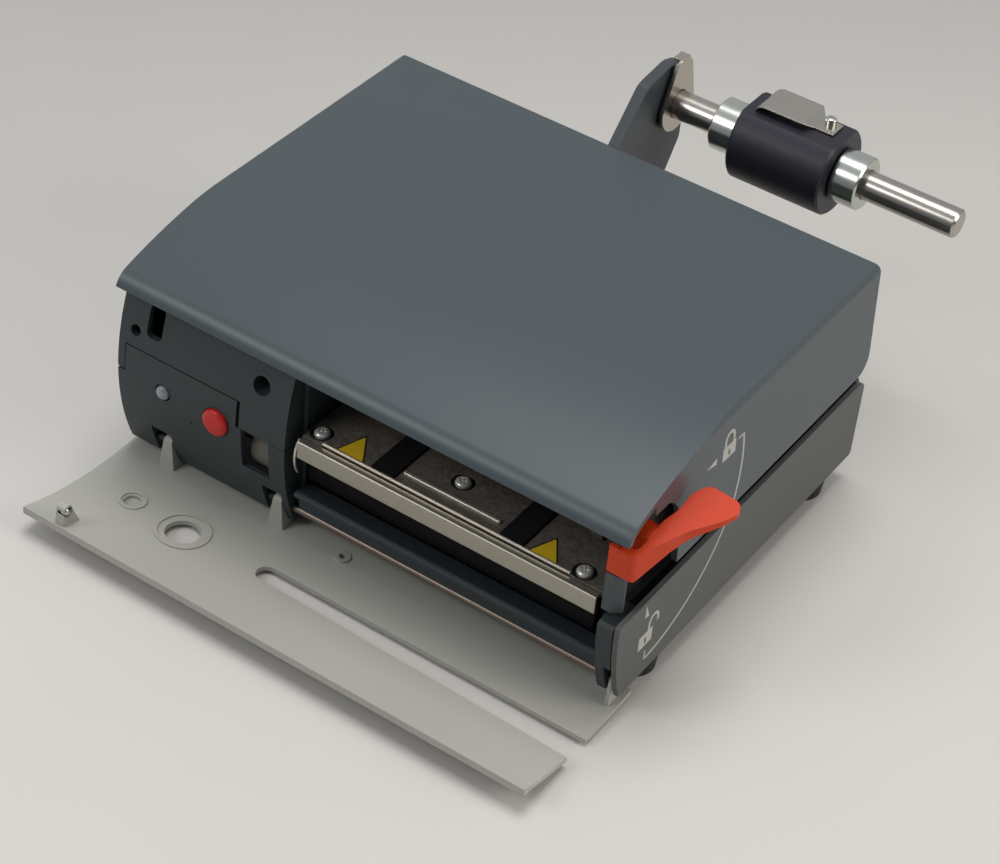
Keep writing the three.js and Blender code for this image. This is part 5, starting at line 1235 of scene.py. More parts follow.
@dataclass
class HeadUnit:
    """The printhead: plate on a rear shaft, bright front strip, heat block and the black tappets."""

    PIVOT = (60.0, 40.0)

    left: float = 85.0
    right: float = 217.3
    top: float = 41.0
    sheet: float = 2.4
    front: float = 2.4
    barrel: float = 5.0
    strip_front: float = -1.2
    strip_sheet: float = 0.8
    strip_heights: Point = (32.6, 40.4)
    fold: float = 3.2
    screws: tuple[Point, ...] = ((89.7, 8.0), (146.0, 18.6), (206.4, 7.2))
    screw_radius: float = 3.1
    screw_head: Point = (0.7, 1.35)
    screw_slot: Point = (0.4, 1.7)
    slot_floor: float = 1.1
    screw_length: float = 4.0
    recess: float = 4.6
    recess_depth: float = 0.6
    well: Triple = (0.1, 0.05, 0.12)
    pads: Point = (120.0, 177.0)
    pad_width: float = 10.0
    pad_depths: Point = (3.2, 36.0)
    pad_rise: float = 0.9
    pad_rounds: Point = (0.6, 0.8)
    tappet_depths: Point = (27.0, 35.0)
    tappet_top: float = 47.8
    ridge_ends: Point = (94.0, 203.0)
    rib_ends: Point = (126.5, 169.0)
    rib_depth: float = 9.0
    rib_width: float = 1.7
    rib_rise: float = 1.2
    ridge_height: float = 1.1
    ridge_depth: float = 0.9
    ridge_round: float = 0.3
    hook_wire: Point = (0.55, 0.25)
    hook_sides: Point = (0.9, 0.1)
    shaft_ends: Point = (81.3, 223.9)
    hook_line: tuple[Point, ...] = (
        (3.0, 39.1), (1.2, 39.6), (-0.3, 38.5), (-1.5, 35.6), (-1.9, 33.0), (-1.8, 30.4), (-1.4, 28.0),
        (-0.7, 25.8), (0.3, 23.9))

    def plate(self) -> Shape:
        """The dark spangled plate with its recesses, seats and barrels."""
        bottom = self.top - self.sheet
        y, z = self.PIVOT
        body = Shape.box(self.left, self.right, self.front, y, bottom, self.top).join(
            *[Shape.rod(Axis.X, y, z, self.barrel, x, x + 2 * self.barrel)
              for x in (self.left, self.right - 2 * self.barrel)])
        room = Shape.box(self.left + 2 * self.barrel, self.right - 2 * self.barrel, y - self.barrel,
                         y + self.barrel, 0, TALL)
        recesses = [Shape.rod(Axis.Z, x, sy, self.recess, self.top - self.recess_depth, self.top + OVERRUN)
                    for x, sy in self.screws]
        half, (near, far) = self.pad_width / 2 + GAP, self.pad_depths
        seats = [Shape.box(x - half, x + half, near - GAP, far + GAP, self.top - self.pad_rise, TALL)
                 for x in self.pads]
        bore = Shape.rod(Axis.X, y, z, SHAFT_BORE, self.left - OVERRUN, self.right + OVERRUN)
        return body.cut(room).cut(*recesses, *seats, bore)

    def ridge(self) -> Shape:
        """The raised edge along the plate's front, in lighter steel as a painted highlight."""
        front, low, high = self.front, self.top - OVERRUN, self.top + self.ridge_height
        return Shape.prism(softened(rectangle(front, front + self.ridge_depth, low, high), self.ridge_round),
                           *self.ridge_ends)

    def screw_shade_ring(self, x: float, y: float) -> Shape:
        """A black ring on the floor of a recess round its screw: painted shade of the gap round the head."""
        room, sink, rise = self.well
        seat = self.top - self.recess_depth
        ring = rectangle(self.screw_radius + room, self.recess - sink, seat - sink, seat + rise)
        return Shape.turned([*ring, ring[0]], (x, y, 0), Toward.UP)

    def rib(self) -> Shape:
        """The bent wire that stands in the middle of the plate, in lighter steel as a painted highlight."""
        low, half = self.top - GAP, self.rib_width / 2
        y = self.rib_depth
        bar = Shape.prism(softened(rectangle(y - half, y + half, low, self.top + self.rib_rise),
                                   self.rib_rise / 2), *self.rib_ends)
        ends = Shape.prism(softened(rectangle(*self.rib_ends, y - half, y + half), half), low,
                           self.top + 2 * OVERRUN, Axis.Z)
        return bar.common(ends)

    def pan_screw(self, x: float, y: float) -> Shape:
        """A pan-head screw with a cross recess."""
        r, (rim, rise) = self.screw_radius, self.screw_head
        seat = self.top - self.recess_depth
        low = seat - self.screw_length
        head = Shape.turned([(0, low), (r / 2, low), (r / 2, seat), (r, seat),
                             *dome(r, rise, seat + rim, HEAD_FULLNESS), (0, seat + rim + rise)],
                            (x, y, 0), Toward.UP)
        return head.cut(*Shape.cross(x, y, self.screw_slot, seat + self.slot_floor,
                                     seat + self.screw_length, Axis.Z))

    def strip(self) -> Shape:
        """The stainless strip folded over the plate's front, with its end hook."""
        y, t = self.strip_front, self.strip_sheet
        low, high = self.strip_heights
        outline = [(y, low), (y + t, low), (y + t, high - t), (y + self.fold, high - t),
                   (y + self.fold, high), *arc(y + t, high - t, t, 90, 180)]
        return Shape.prism(outline, self.left, self.right - t)

    def hook(self) -> Shape:
        """The thin hook that curves down at the strip's left end."""
        outer = list(self.hook_line)
        inner = [(y + self.hook_wire[0], z - self.hook_wire[1]) for y, z in reversed(outer)]
        return Shape.prism([*outer, *inner], *[self.left - side for side in self.hook_sides])

    def tappet(self, x: float) -> Shape:
        """A black pad with the block that the cam presses."""
        low = self.top - self.recess_depth
        half, third = self.pad_width / 2, self.pad_width / 3
        wide, narrow = self.pad_rounds
        pad = Shape.prism(softened(rectangle(x - half, x + half, *self.pad_depths), wide), low,
                          self.top + self.pad_rise, Axis.Z)
        block = Shape.prism(softened(rectangle(x - third, x + third, *self.tappet_depths), narrow), low,
                            self.tappet_top, Axis.Z)
        return pad.join(block)

    def build(self, bench: Bench) -> None:
        """Places the whole head group."""
        bench.place("head_sheet", self.plate(), "printhead", "head_cast", "head_plate", bevel=0.2)
        for i, (x, y) in enumerate(self.screws):
            bench.place(f"head_screw_{i + 1}", self.pan_screw(x, y), "printhead", "chrome", angle=40)
            # Black ring round each screw: painted shade in its recess.
            bench.place(f"screw_shade_ring_{i + 1}", self.screw_shade_ring(x, y), "printhead", "black_plastic")
        # Ridge, hook and rib are real raised edges, drawn in the lighter steel as a painted highlight.
        bench.place("head_ridge", self.ridge(), "printhead", "steel_painted_highlight")
        bench.place("strip_hook", self.hook(), "printhead", "steel_painted_highlight")
        bench.place("head_rib", self.rib(), "printhead", "steel_painted_highlight")
        bench.place("head_strip", self.strip(), "printhead", "strip_steel", "head_front_strip", bevel=0.2)
        for side, x in zip(("left", "right"), self.pads):
            bench.place(f"tappet_{side}", self.tappet(x), "printhead", "black_plastic",
                        f"head_tappet_{side}", bevel=0.3)
        bench.dress("zinc", "thermal_printhead")
        shaft = Shape.rod(Axis.X, *self.PIVOT, SHAFT_RADIUS, *self.shaft_ends)
        bench.place("head_shaft", shaft, "frame", "shaft_steel", "head_pivot_shaft", bevel=0.4)


@dataclass
class HeadLever:
    """The orange lever, its toothed sector and the cam shaft that the sector turns."""

    PIVOT = (13.0, 61.0)
    CAM_AXIS = (31.3, 61.0)
    ROOM = 17.0
    ROOM_TOP = 76.0
    WALL_START = 12.5
    CAP_LEFT = 218.4
    CAP_FRONT = -1.2
    CAP_BOTTOM = 54.4
    CAP_DEPTH = 3.4

    cap_right: float = 228.6
    cap_top: float = 66.5
    cap_round: float = 1.5
    cap_side: float = 3.4
    hub_left: float = 222.2
    hub_radius: float = 8.5
    handle_inner: float = 230.0
    handle_flare: Point = (237.8, 18.4)
    handle_wide: Point = (246.0, 29.5)
    handle_tip: Triple = (243.5, 35.0, 4.5)
    handle_back: Point = (233.4, 40.5)
    handle_side: float = 34.5
    handle_round: float = 2.6
    ease_share: float = 0.3
    cap_lap: float = 7.0
    top_height: float = 67.0
    rise: float = 0.17
    underside: tuple[Point, ...] = ((13.0, 63.2), (21.0, 67.0), (31.0, 70.3), (48.0, 73.6))
    gear_left: float = 206.0
    gear_width: float = 5.0
    teeth: int = 12
    module: float = 1.5
    tooth: tuple[Point, ...] = ((-1.15, -0.31), (0.0, -0.235), (0.8, -0.13), (0.8, 0.13), (0.0, 0.235),
                                (-1.15, 0.31))
    sector_angles: Point = (-25.0, 112.0)
    collar: float = 5.5
    shaft_end: float = 0.02
    cam: Quad = (4.8, 3.0, 9.2, 6.0)
    cam_shaft_ends: Point = (81.3, 222.0)

    def cap(self) -> Shape:
        """The cap over the post, with its cheek and hub in the lid's slot."""
        y, z = self.PIVOT
        front, rear = self.CAP_FRONT, self.CAP_FRONT + self.CAP_DEPTH
        right = self.cap_right - self.cap_side
        plan = softened([(self.CAP_LEFT, front), (right, front), (right, rear + self.cap_side),
                         (self.CAP_LEFT, rear + self.cap_side)], self.cap_round)
        side = rounded(front, rear, self.CAP_BOTTOM, self.cap_top, self.cap_round)
        cap = Shape.prism(side, self.CAP_LEFT, right).common(
            Shape.prism(plan, self.CAP_BOTTOM - OVERRUN, self.cap_top + OVERRUN, Axis.Z))
        seat, ends = rear - GAP, (self.hub_left, self.cap_right)
        cheek = Shape.prism([(seat, self.CAP_BOTTOM + self.cap_round), (seat, self.cap_top - self.cap_round),
                             (y, z + self.hub_radius), (y, z - self.hub_radius)], *ends)
        return cap.join(cheek, Shape.rod(Axis.X, y, z, self.hub_radius, *ends))

    def handle(self) -> Shape:
        """The slab that flares outwards to a rounded tip, over a wedge."""
        start, inner = self.CAP_FRONT, self.handle_inner
        tip_x, tip_y, tip_radius = self.handle_tip
        rear_cap = start + self.CAP_DEPTH
        on_hub, hub_end = self.cap_right - GAP, self.PIVOT[0] + self.hub_radius
        plan = [(inner - self.cap_lap, rear_cap), (inner - self.cap_lap, start), (self.cap_right, start),
                self.handle_flare, self.handle_wide, *arc(tip_x, tip_y, tip_radius, -30, 80),
                self.handle_back, (inner, self.handle_side), (inner, hub_end + self.handle_round),
                (on_hub, hub_end - self.handle_round), (on_hub, rear_cap)]
        slab = Shape.prism(softened(plan, self.handle_round), self.CAP_BOTTOM - OVERRUN, TALL, Axis.Z)
        cut, ease, rear = self.cap_round, self.cap_round * self.ease_share, self.underside[-1][0]
        top = self.top_height + self.rise * start
        wedge = [(start, self.CAP_BOTTOM + cut), (start + ease, self.CAP_BOTTOM + ease),
                 (start + cut, self.CAP_BOTTOM), *self.underside, (rear, self.top_height + self.rise * rear),
                 (start + cut, top + self.rise * cut), (start + ease, top - ease), (start, top - cut)]
        return slab.common(Shape.prism(wedge, inner - 2 * self.cap_lap, tip_x + 2 * tip_radius))

    def gear(self, axis: Point, phase: float) -> Shape:
        """A gear of the lever's pair, with a tooth at its phase angle in degrees."""
        points = []
        for i in range(self.teeth):
            for height, share in self.tooth:
                radius = self.module * (self.teeth / 2 + height)
                angle = math.radians(phase + (i + share) * 360 / self.teeth)
                points.append((axis[0] + radius * math.cos(angle), axis[1] + radius * math.sin(angle)))
        return Shape.prism(points, self.gear_left, self.gear_left + self.gear_width)

    def sector(self) -> Shape:
        """The stub shaft with the teeth that stay in mesh over the lever's turn."""
        y, z = self.PIVOT
        left, right = self.gear_left, self.gear_left + self.gear_width
        slice_points = [(y, z), *arc(y, z, self.module * self.teeth, *self.sector_angles)]
        teeth = self.gear(self.PIVOT, 0).common(Shape.prism(slice_points, left - OVERRUN, right + OVERRUN))
        return teeth.join(Shape.rod(Axis.X, y, z, self.collar, left, right),
                          Shape.rod(Axis.X, y, z, SHAFT_RADIUS, left - GAP, self.hub_left + self.shaft_end))

    def cam_shaft(self, head: HeadUnit) -> Shape:
        """The turned shaft with its two cams and its gear."""
        y, z = self.CAM_AXIS
        hub, nose, reach, width = self.cam
        outline = [*arc(y, z, hub, 0, 180), *arc(y, z - reach, nose, 180, 360)]
        cams = [Shape.prism(outline, x - width / 2, x + width / 2) for x in head.pads]
        return Shape.rod(Axis.X, y, z, SHAFT_RADIUS, *self.cam_shaft_ends).join(
            *cams, self.gear(self.CAM_AXIS, 180 + 180 / self.teeth))

    def build(self, bench: Bench, head: HeadUnit) -> None:
        """Places the lever and the cam shaft."""
        bench.place("lever_handle", self.cap().join(self.handle()), "head_lever", "lever_orange",
                    "lever_grip", bevel=0.8, segments=3, angle=28)
        bench.place("lever_sector", self.sector(), "head_lever", "gear_steel", bevel=0.15)
        bench.place("cam_shaft", self.cam_shaft(head), "cam_shaft", "gear_steel", "head_cam_shaft",
                    bevel=0.2)


@dataclass
class Roller:
    """The platen roller with its shaft, its thumbwheel and the bar in front of it."""

    AXIS = (12.5, 22.0)

    radius: float = 8.0
    ends: Point = (86.5, 214.0)
    end_round: float = 0.4
    shaft_right: float = 226.4
    bar_profile: tuple[Point, ...] = ((9, 4.4), (9, 13), (8, 14), (0.4, 15), (-1.2, 14.2), (-1.2, 12.8),
                                      (1.8, 10.4), (2.4, 4.4))
    bar_ends: Point = (84.2, 219.9)
    thumb_left: float = 61.8
    thumb_width: float = 11.6
    thumb_radius: float = 11.4
    grips: int = 36
    grip_depth: float = 0.2

    def thumbwheel(self) -> Shape:
        """The wheel with its shallow grips."""
        y, z = self.AXIS
        points = []
        for i in range(4 * self.grips):
            radius = self.thumb_radius - (self.grip_depth if i % 4 in (2, 3) else 0)
            angle = 2 * math.pi * i / (4 * self.grips)
            points.append((y + radius * math.cos(angle), z + radius * math.sin(angle)))
        left, right = self.thumb_left, self.thumb_left + self.thumb_width
        bore = Shape.rod(Axis.X, y, z, SHAFT_BORE, left - OVERRUN, right + OVERRUN)
        return Shape.prism(points, left, right).cut(bore)

    def bar(self) -> Shape:
        """The front cross bar of the bay."""
        return Shape.prism(list(self.bar_profile), *self.bar_ends)

    def build(self, bench: Bench) -> None:
        """Places the roller, the shaft, the thumbwheel and the bar."""
        y, z = self.AXIS
        rubber = Shape.turned(sleeve_profile(SHAFT_BORE, self.radius, self.ends[1] - self.ends[0],
                                             self.end_round), (self.ends[0], y, z), Toward.RIGHT)
        # The roller's rubber is darkened as painted shade of the bay under the head.
        bench.place("roller_rubber", rubber, "platen", "roller_rubber_painted_shade", "platen_roller")
        shaft = Shape.rod(Axis.X, y, z, SHAFT_RADIUS, self.thumb_left - 4 * WALL, self.shaft_right)
        bench.place("roller_shaft", shaft, "platen", "shaft_steel", "platen_shaft", bevel=0.4)
        bench.place("roller_thumbwheel", self.thumbwheel(), "platen", "wheel_grey", "thumbwheel",
                    bevel=0.15)
        bench.place("bay_bar", self.bar(), "frame", "bar_slate", "front_cross_bar", bevel=0.35)


@dataclass
class Unwinder:
    """The arm behind the body with its shaft, collars and core."""

    arm_left: float = 103.0
    arm_thick: float = 5.0
    arm_front: float = 172.3
    low: float = 4.0
    top: float = 111.5
    rear: float = 223.2
    arm_knee: float = 70.7
    arm_waist: float = 54.0
    arm_round: float = 2.4
    arm_shares: tuple[float, ...] = (0.38, 0.74, 0.9, 0.78, 0.2, 0.1)
    flange_width: float = 16.0
    flange_thick: float = 4.0
    flange_top: float = 39.0
    axis: Point = (213.0, 92.6)
    radius: float = 6.0
    end: float = 238.5
    end_cuts: Point = (0.4, 0.9)
    bolt: Point = (6.5, 5.3)
    sleeve: float = 9.0
    lid_top: float = 91.0
    lid_wall: float = 2.4
    plate_radius: float = 12.0
    plate_top: float = 112.6
    plate_half: float = 7.4
    plate_sheet: float = 1.4
    plate_drop: float = 0.7
    pad_sheet: float = 1.0
    fold_depth: float = 3.0
    fold_length: float = 6.0
    fold_shift: float = 2.0
    collars: Point = (131.2, 185.9)
    collar_width: float = 12.0
    collar_radius: float = 11.0
    collar_cut: float = 0.7
    set_screw: Point = (2.0, 0.75)
    core_left: float = 143.6
    core_length: float = 42.0
    core_radius: float = 18.0
    core_bore: float = 6.4
    core_cut: float = 0.9
    core_hole: float = 1.4
    flat: float = 15.4
    leaf_left: float = 147.6
    leaf_flat: float = 21.4
    leaf_bend: float = 3.4
    leaf_knee: Point = (0.4, 0.6)
    leaf_length: float = 33.0
    leaf_width: float = 17.0
    leaf_shift: float = 3.0
    leaf_tab: float = 9.0
    leaf_rise: float = 2.2
    leaf_sheet: float = 0.6
    leaf_round: float = 0.8
    leaf_screw_x: float = 28.2
    leaf_screw_shift: float = 2.4
    leaf_screw_radius: float = 2.3
    leaf_screw_head: Point = (1.9, 1.0)
    leaf_screw_stem: Point = (1.1, 3.2)
    leaf_screw_slot: Point = (1.8, 0.35)
    slot_heights: Point = (2.2, 4.0)
    screw_inset: float = 6.2
    screw_radius: float = 3.6
    screw_head: Point = (0.8, 1.6)
    screw_sink: float = 0.9
    screw_slot: Point = (0.5, 2.0)
    screw_slot_depths: Point = (1.2, 5.0)

    def arm(self) -> Shape:
        """The leaning arm with its foot flange."""
        front, wall = self.arm_front, self.lid_wall
        left, right = self.arm_left, self.arm_left + self.arm_thick
        rise, crest, fall, waist, heel, foot = [front + (self.rear - front) * share
                                                for share in self.arm_shares]
        points = [(front, self.low), (front, self.lid_top - wall), (rise, self.top - wall), (crest, self.top),
                  (fall, self.top - wall), (self.rear, self.top - 4 * wall), (self.rear, self.arm_knee),
                  (waist, self.arm_waist), (heel, self.low + WALL), (foot, self.low)]
        plate = Shape.prism(softened(points, self.arm_round), left, right)
        flange = Shape.prism(rounded(left - self.flange_width, right, self.low, self.flange_top, WALL), front,
                             front + self.flange_thick, Axis.Y)
        bore = Shape.rod(Axis.X, *self.axis, self.sleeve + GAP, left - OVERRUN, right + OVERRUN)
        return plate.join(flange).cut(bore)

    def arm_screw(self, z: float) -> Shape:
        """One of the screws in the foot flange."""
        x = self.arm_left - self.flange_width / 2
        seat = self.arm_front + self.flange_thick
        r, (rim, rise) = self.screw_radius, self.screw_head
        start, end = self.screw_slot_depths
        head = Shape.turned([(0, -self.screw_sink), (r, -self.screw_sink), *dome(r, rise, rim, HEAD_FULLNESS),
                             (0, rim + rise)], (x, seat, z), Toward.BACK)
        return head.cut(*Shape.cross(x, z, self.screw_slot, seat + start, seat + end, Axis.Y))

    def shaft(self) -> Shape:
        """The bright shaft with its shoulder in the arm and the bolt end behind it."""
        y, z = self.axis
        start = self.arm_left - GAP
        shoulder, long = self.arm_thick + GAP, self.end - start
        edge, tip = self.end_cuts
        bar = Shape.turned([(0, 0), (self.sleeve - edge, 0), (self.sleeve, edge), (self.sleeve, shoulder),
                            (self.radius, shoulder), (self.radius, long - tip), (self.radius - tip, long),
                            (0, long)], (start, y, z), Toward.RIGHT)
        corner, height = self.bolt
        hexagon = [(y + corner * math.cos(math.radians(a)), z + corner * math.sin(math.radians(a)))
                   for a in range(0, 360, 60)]
        return bar.join(Shape.prism(hexagon, start - height, start + OVERRUN))

    def plate_outline(self, inset: float) -> Outline:
        """The outline of the hook plate, or of the pad behind it, which is smaller by a little."""
        y, z = self.axis
        half, top = self.plate_half - inset, self.plate_top - inset
        return [*arc(y, z, self.plate_radius - inset, 180, 360), (y + half, top - WALL),
                (y + half - WALL, top), (y - self.plate_half / 2, top)]

    def washer(self, start: float, sheet: float, inset: float) -> Shape:
        """A plate round the shaft."""
        bore = Shape.rod(Axis.X, *self.axis, self.radius + GAP, start - OVERRUN, start + sheet + OVERRUN)
        return Shape.prism(self.plate_outline(inset), start, start + sheet).cut(bore)

    def hook_plate(self, start: float) -> Shape:
        """The stainless plate with its fold over the arm."""
        sheet = self.plate_sheet
        low = max(self.plate_top, self.top + GAP) - self.plate_drop
        middle, half = self.axis[0] + self.fold_shift, self.fold_length / 2
        fold = Shape.box(start - self.fold_depth, start + sheet, middle - half, middle + half, low,
                         low + sheet)
        return self.washer(start, sheet, 0).join(fold)

    def collar(self, x: float) -> Shape:
        """A set collar with the bore of its set screw."""
        y, z = self.axis
        r, wide = self.collar_radius, self.collar_width
        ring = Shape.turned(sleeve_profile(self.radius + GAP, r, wide, self.collar_cut), (x, y, z),
                            Toward.RIGHT)
        hole, share = self.set_screw
        return ring.cut(Shape.rod(Axis.Z, x + wide / 2, y, hole, z - 2 * r, z - r * share))

    def core(self) -> Shape:
        """The dark core with a flat for its spring."""
        y, z = self.axis
        r, left, long = self.core_radius, self.core_left, self.core_length
        sleeve = Shape.turned(sleeve_profile(self.core_bore, r, long, self.core_cut), (left, y, z),
                              Toward.RIGHT)
        flat = Shape.box(left - OVERRUN, left + long + OVERRUN, y - r, y + r, z + self.flat, z + 2 * r)
        screw_y = y + self.leaf_shift + self.leaf_screw_shift
        hole = Shape.rod(Axis.Z, self.leaf_left + self.leaf_screw_x, screw_y, self.core_hole,
                         z + self.core_bore + OVERRUN, z + 2 * r)
        return sleeve.cut(flat, hole)

    def leaf(self) -> Shape:
        """The bent leaf spring, with its clipped corners and its tab."""
        y = self.axis[0] + self.leaf_shift
        low = self.axis[1] + self.flat + GAP
        left, bend, rise, sheet = self.leaf_left, self.leaf_bend, self.leaf_rise, self.leaf_sheet
        turn, end = left + self.leaf_flat, left + self.leaf_length
        along, up = self.leaf_knee
        line = [(left, low), (left + bend * along, low + rise * up), (left + bend, low + rise),
                (turn, low + rise), (turn + bend / 2, low + rise / 2), (turn + bend, low), (end, low)]
        half, tab = self.leaf_width / 2, self.leaf_tab / 2
        plan = [(left, y - half), (turn, y - half), (turn + bend, y - tab), (end, y - tab), (end, y + tab),
                (turn + bend, y + tab), (turn, y + half), (left, y + half)]
        strip = Shape.prism([*line, *[(x, z + sheet) for x, z in reversed(line)]], y - 2 * half,
                            y + 2 * half, Axis.Y)
        return strip.common(Shape.prism(softened(plan, self.leaf_round), low - OVERRUN,
                                        low + rise + 2 * sheet, Axis.Z))

    def leaf_screw(self) -> Shape:
        """The screw that holds the leaf spring."""
        x, y = self.leaf_left + self.leaf_screw_x, self.axis[0] + self.leaf_shift + self.leaf_screw_shift
        seat = self.axis[1] + self.flat + GAP + self.leaf_sheet
        r, (rim, rise), (stem, drop) = self.leaf_screw_radius, self.leaf_screw_head, self.leaf_screw_stem
        head = Shape.turned([(0, seat - drop), (stem, seat - drop), (stem, seat), (r, seat),
                             *dome(r, rise, seat + rim, HEAD_FULLNESS), (0, seat + rim + rise)],
                            (x, y, 0), Toward.UP)
        (along, across), (low, high) = self.leaf_screw_slot, self.slot_heights
        return head.cut(Shape.box(x - along, x + along, y - across, y + across, seat + low, seat + high))

    def build(self, bench: Bench) -> None:
        """Places the arm and everything on it."""
        pad_left = self.arm_left + self.arm_thick + GAP
        bench.place("unwinder_bracket", self.arm(), "frame", "arm_grey", "unwinder_arm", bevel=0.5)
        for name, z in (("low", self.low + self.screw_inset), ("high", self.flange_top - self.screw_inset)):
            bench.place(f"bracket_screw_{name}", self.arm_screw(z), "frame", "zinc", angle=40)
        bench.place("unwinder_bar", self.shaft(), "frame", "shaft_steel", "unwinder_shaft")
        plate_left = pad_left + self.pad_sheet + GAP
        bench.place("hook_pad", self.washer(pad_left, self.pad_sheet, self.pad_sheet), "frame",
                    "black_plastic", "unwinder_backing_pad", bevel=0.15)
        bench.place("hook_plate", self.hook_plate(plate_left), "frame", "stainless",
                    "unwinder_hook_plate", bevel=0.2)
        for name, x in zip(("inner", "outer"), self.collars):
            bench.place(f"collar_{name}", self.collar(x), "frame", "zinc", f"set_collar_{name}")
        bench.place("core_sleeve", self.core(), "core", "core_dark", "unwinder_core")
        bench.place("core_leaf", self.leaf(), "core", "stainless", "leaf_spring", bevel=0.15)
        bench.place("core_leaf_screw", self.leaf_screw(), "core", "zinc", angle=40)


@dataclass
class Feet:
    """The four rubber feet."""

    places: dict[str, Point] = field(default_factory=lambda: {
        "front_left": (10.5, 28.5), "front_right": (219.5, 28.5), "rear_left": (10.5, 153.0),
        "rear_right": (219.5, 153.0)})
    radius: float = 9.4
    height: float = 10.7
    top: float = -1.3
    dimple: Point = (3.0, 1.2)
    low_edge: tuple[Point, ...] = ((1.8, 0.0), (1.3, 0.15), (1.0, 0.6))
    top_edge: tuple[Point, ...] = ((0.0, 1.0), (0.1, 0.2), (0.3, 0.0))

    def build(self, bench: Bench) -> None:
        """Places the feet."""
        top, low, (hole, depth) = self.top, self.top - self.height, self.dimple
        profile = [(0, low + depth), (hole, low + depth), (hole, low),
                   *[(self.radius - inset, low + rise) for inset, rise in self.low_edge],
                   *[(self.radius - inset, top - drop) for inset, drop in self.top_edge], (0, top)]
        for name, (x, y) in self.places.items():
            foot = Shape.turned(profile, (x, y, 0), Toward.UP)
            bench.place(f"rubber_foot_{name}", foot, "frame", "rubber", f"foot_{name}")


@dataclass
class Marks:
    """The printed lever signs on the right side and the bare triangles on the head."""

    thick: float = 0.05
    centre: Point = (13.6, 65.0)
    radius: float = 59.0
    line: float = 1.2
    upper_line: Point = (-21.8, 9.0)
    lower_line: Point = (-87.5, -28.3)
    upper_tick: Quad = (-4.4, -0.2, 8.8, 9.7)
    lower_tick: Quad = (15.0, 15.9, 6.0, 10.2)
    upper_arrow: tuple[Point, ...] = ((46.4, 73.6), (53.0, 72.2), (53.0, 75.0))
    lower_arrow: tuple[Point, ...] = ((12.0, 35.0), (12.0, 28.6), (14.8, 28.4))
    closed_lock: tuple[Point, float, float, float] = ((57.2, 70.0), 9.0, 5.8, 0.0)
    open_lock: tuple[Point, float, float, float] = ((9.9, 13.6), 9.0, 6.6, 4.6)
    lock_gap: Point = (0.42, 0.58)
    lock_web: Point = (0.2, 0.62)
    shackle: Point = (0.4, 0.25)
    shackle_rise: Point = (0.45, 0.15)
    triangles: dict[str, tuple[Point, ...]] = field(default_factory=lambda: {
        "left": ((99.5, 3.6), (111.4, 3.6), (103.6, 16.2)),
        "right": ((184.7, 3.4), (196.7, 3.4), (189.3, 14.8))})
    rim_growth: float = 1.16
    tape_rounds: Point = (0.8, 1.0)

    def decal(self, points: Outline, surface: Callable[[float], float]) -> Shape:
        """A thin film on the right side.

        Args:
            points: Its (y, z) outline.
            surface: The function that gives the surface's x at a height.

        Returns:
            The film.
        """
        layers = [[(surface(z) + shift, y, z) for y, z in points] for shift in (-self.thick, self.thick)]
        return Shape.lofted(layers)

    def band(self, start: float, end: float) -> Outline:
        """A stretch of the travel line, between two angles."""
        y, z = self.centre
        half = self.line / 2
        return [*arc(y, z, self.radius + half, start, end), *arc(y, z, self.radius - half, end, start)]

    def padlock(self, low_left: Point, width: float, height: float, swing: float) -> list[Outline]:
        """The padlock sign: its body and its shackle, open or closed.

        Args:
            low_left: The body's lower front corner.
            width: The body's width.
            height: The body's height.
            swing: How far the shackle stands to the side, or zero when closed.

        Returns:
            The outlines of the filled parts.
        """
        y, z = low_left
        top = z + height
        near, far = [y + width * share for share in self.lock_gap]
        low, high = [z + height * share for share in self.lock_web]
        outer, inner = [width * share for share in self.shackle]
        centre_rise, lift = self.shackle_rise
        cy, cz = y + width / 2 + swing, top + height * centre_rise
        base = top + (height * lift if swing else 0)
        shackle = [(cy - outer, top), *reversed(arc(cy, cz, outer, 0, 180)), (cy + outer, base),
                   (cy + inner, base), *arc(cy, cz, inner, 0, 180), (cy - inner, top)]
        return [rectangle(y, near, z, top), rectangle(far, y + width, z, top),
                rectangle(near, far, high, top), rectangle(near, far, z, low), shackle]

    def build(self, bench: Bench, cover: Cover, head: HeadUnit) -> None:
        """Places the signs and the triangles."""
        on_lid = cover.wall_x

        def on_panel(_: float) -> float:
            return cover.width

        y, z = self.centre
        near, far, low, high = self.upper_tick
        edge = y + self.radius
        lid_parts = {
            "sign_line_upper": self.band(*self.upper_line),
            "sign_tick_upper": rectangle(edge + near, edge + far, z + low, z + high),
            "sign_arrow_upper": list(self.upper_arrow),
        }
        panel_parts = {
            "sign_line_lower": self.band(*self.lower_line),
            "sign_tick_lower": rectangle(*self.lower_tick),
            "sign_arrow_lower": list(self.lower_arrow),
        }
        for i, points in enumerate(self.padlock(*self.closed_lock)):
            lid_parts[f"sign_closed_{i + 1}"] = points
        for i, points in enumerate(self.padlock(*self.open_lock)):
            panel_parts[f"sign_open_{i + 1}"] = points
        for name, points in lid_parts.items():
            bench.place(name, self.decal(points, on_lid), "lid", "print_grey")
        for name, points in panel_parts.items():
            bench.place(name, self.decal(points, on_panel), "frame", "print_grey")
        sharp, blunt = self.tape_rounds
        base = head.top - self.thick
        for side, corners in self.triangles.items():
            tape = Shape.prism(softened(list(corners), sharp), base, head.top + 2 * self.thick, Axis.Z)
            bench.place(f"hot_mark_{side}", tape, "printhead", "tape_yellow")
            middle = sum(map(Vector, corners), Vector((0, 0))) / len(corners)
            grown = [tuple(middle + (Vector(corner) - middle) * self.rim_growth) for corner in corners]
            rim = Shape.prism(softened(grown, blunt), base, head.top + self.thick, Axis.Z)
            bench.place(f"hot_rim_{side}", rim, "printhead", "ring_dark")


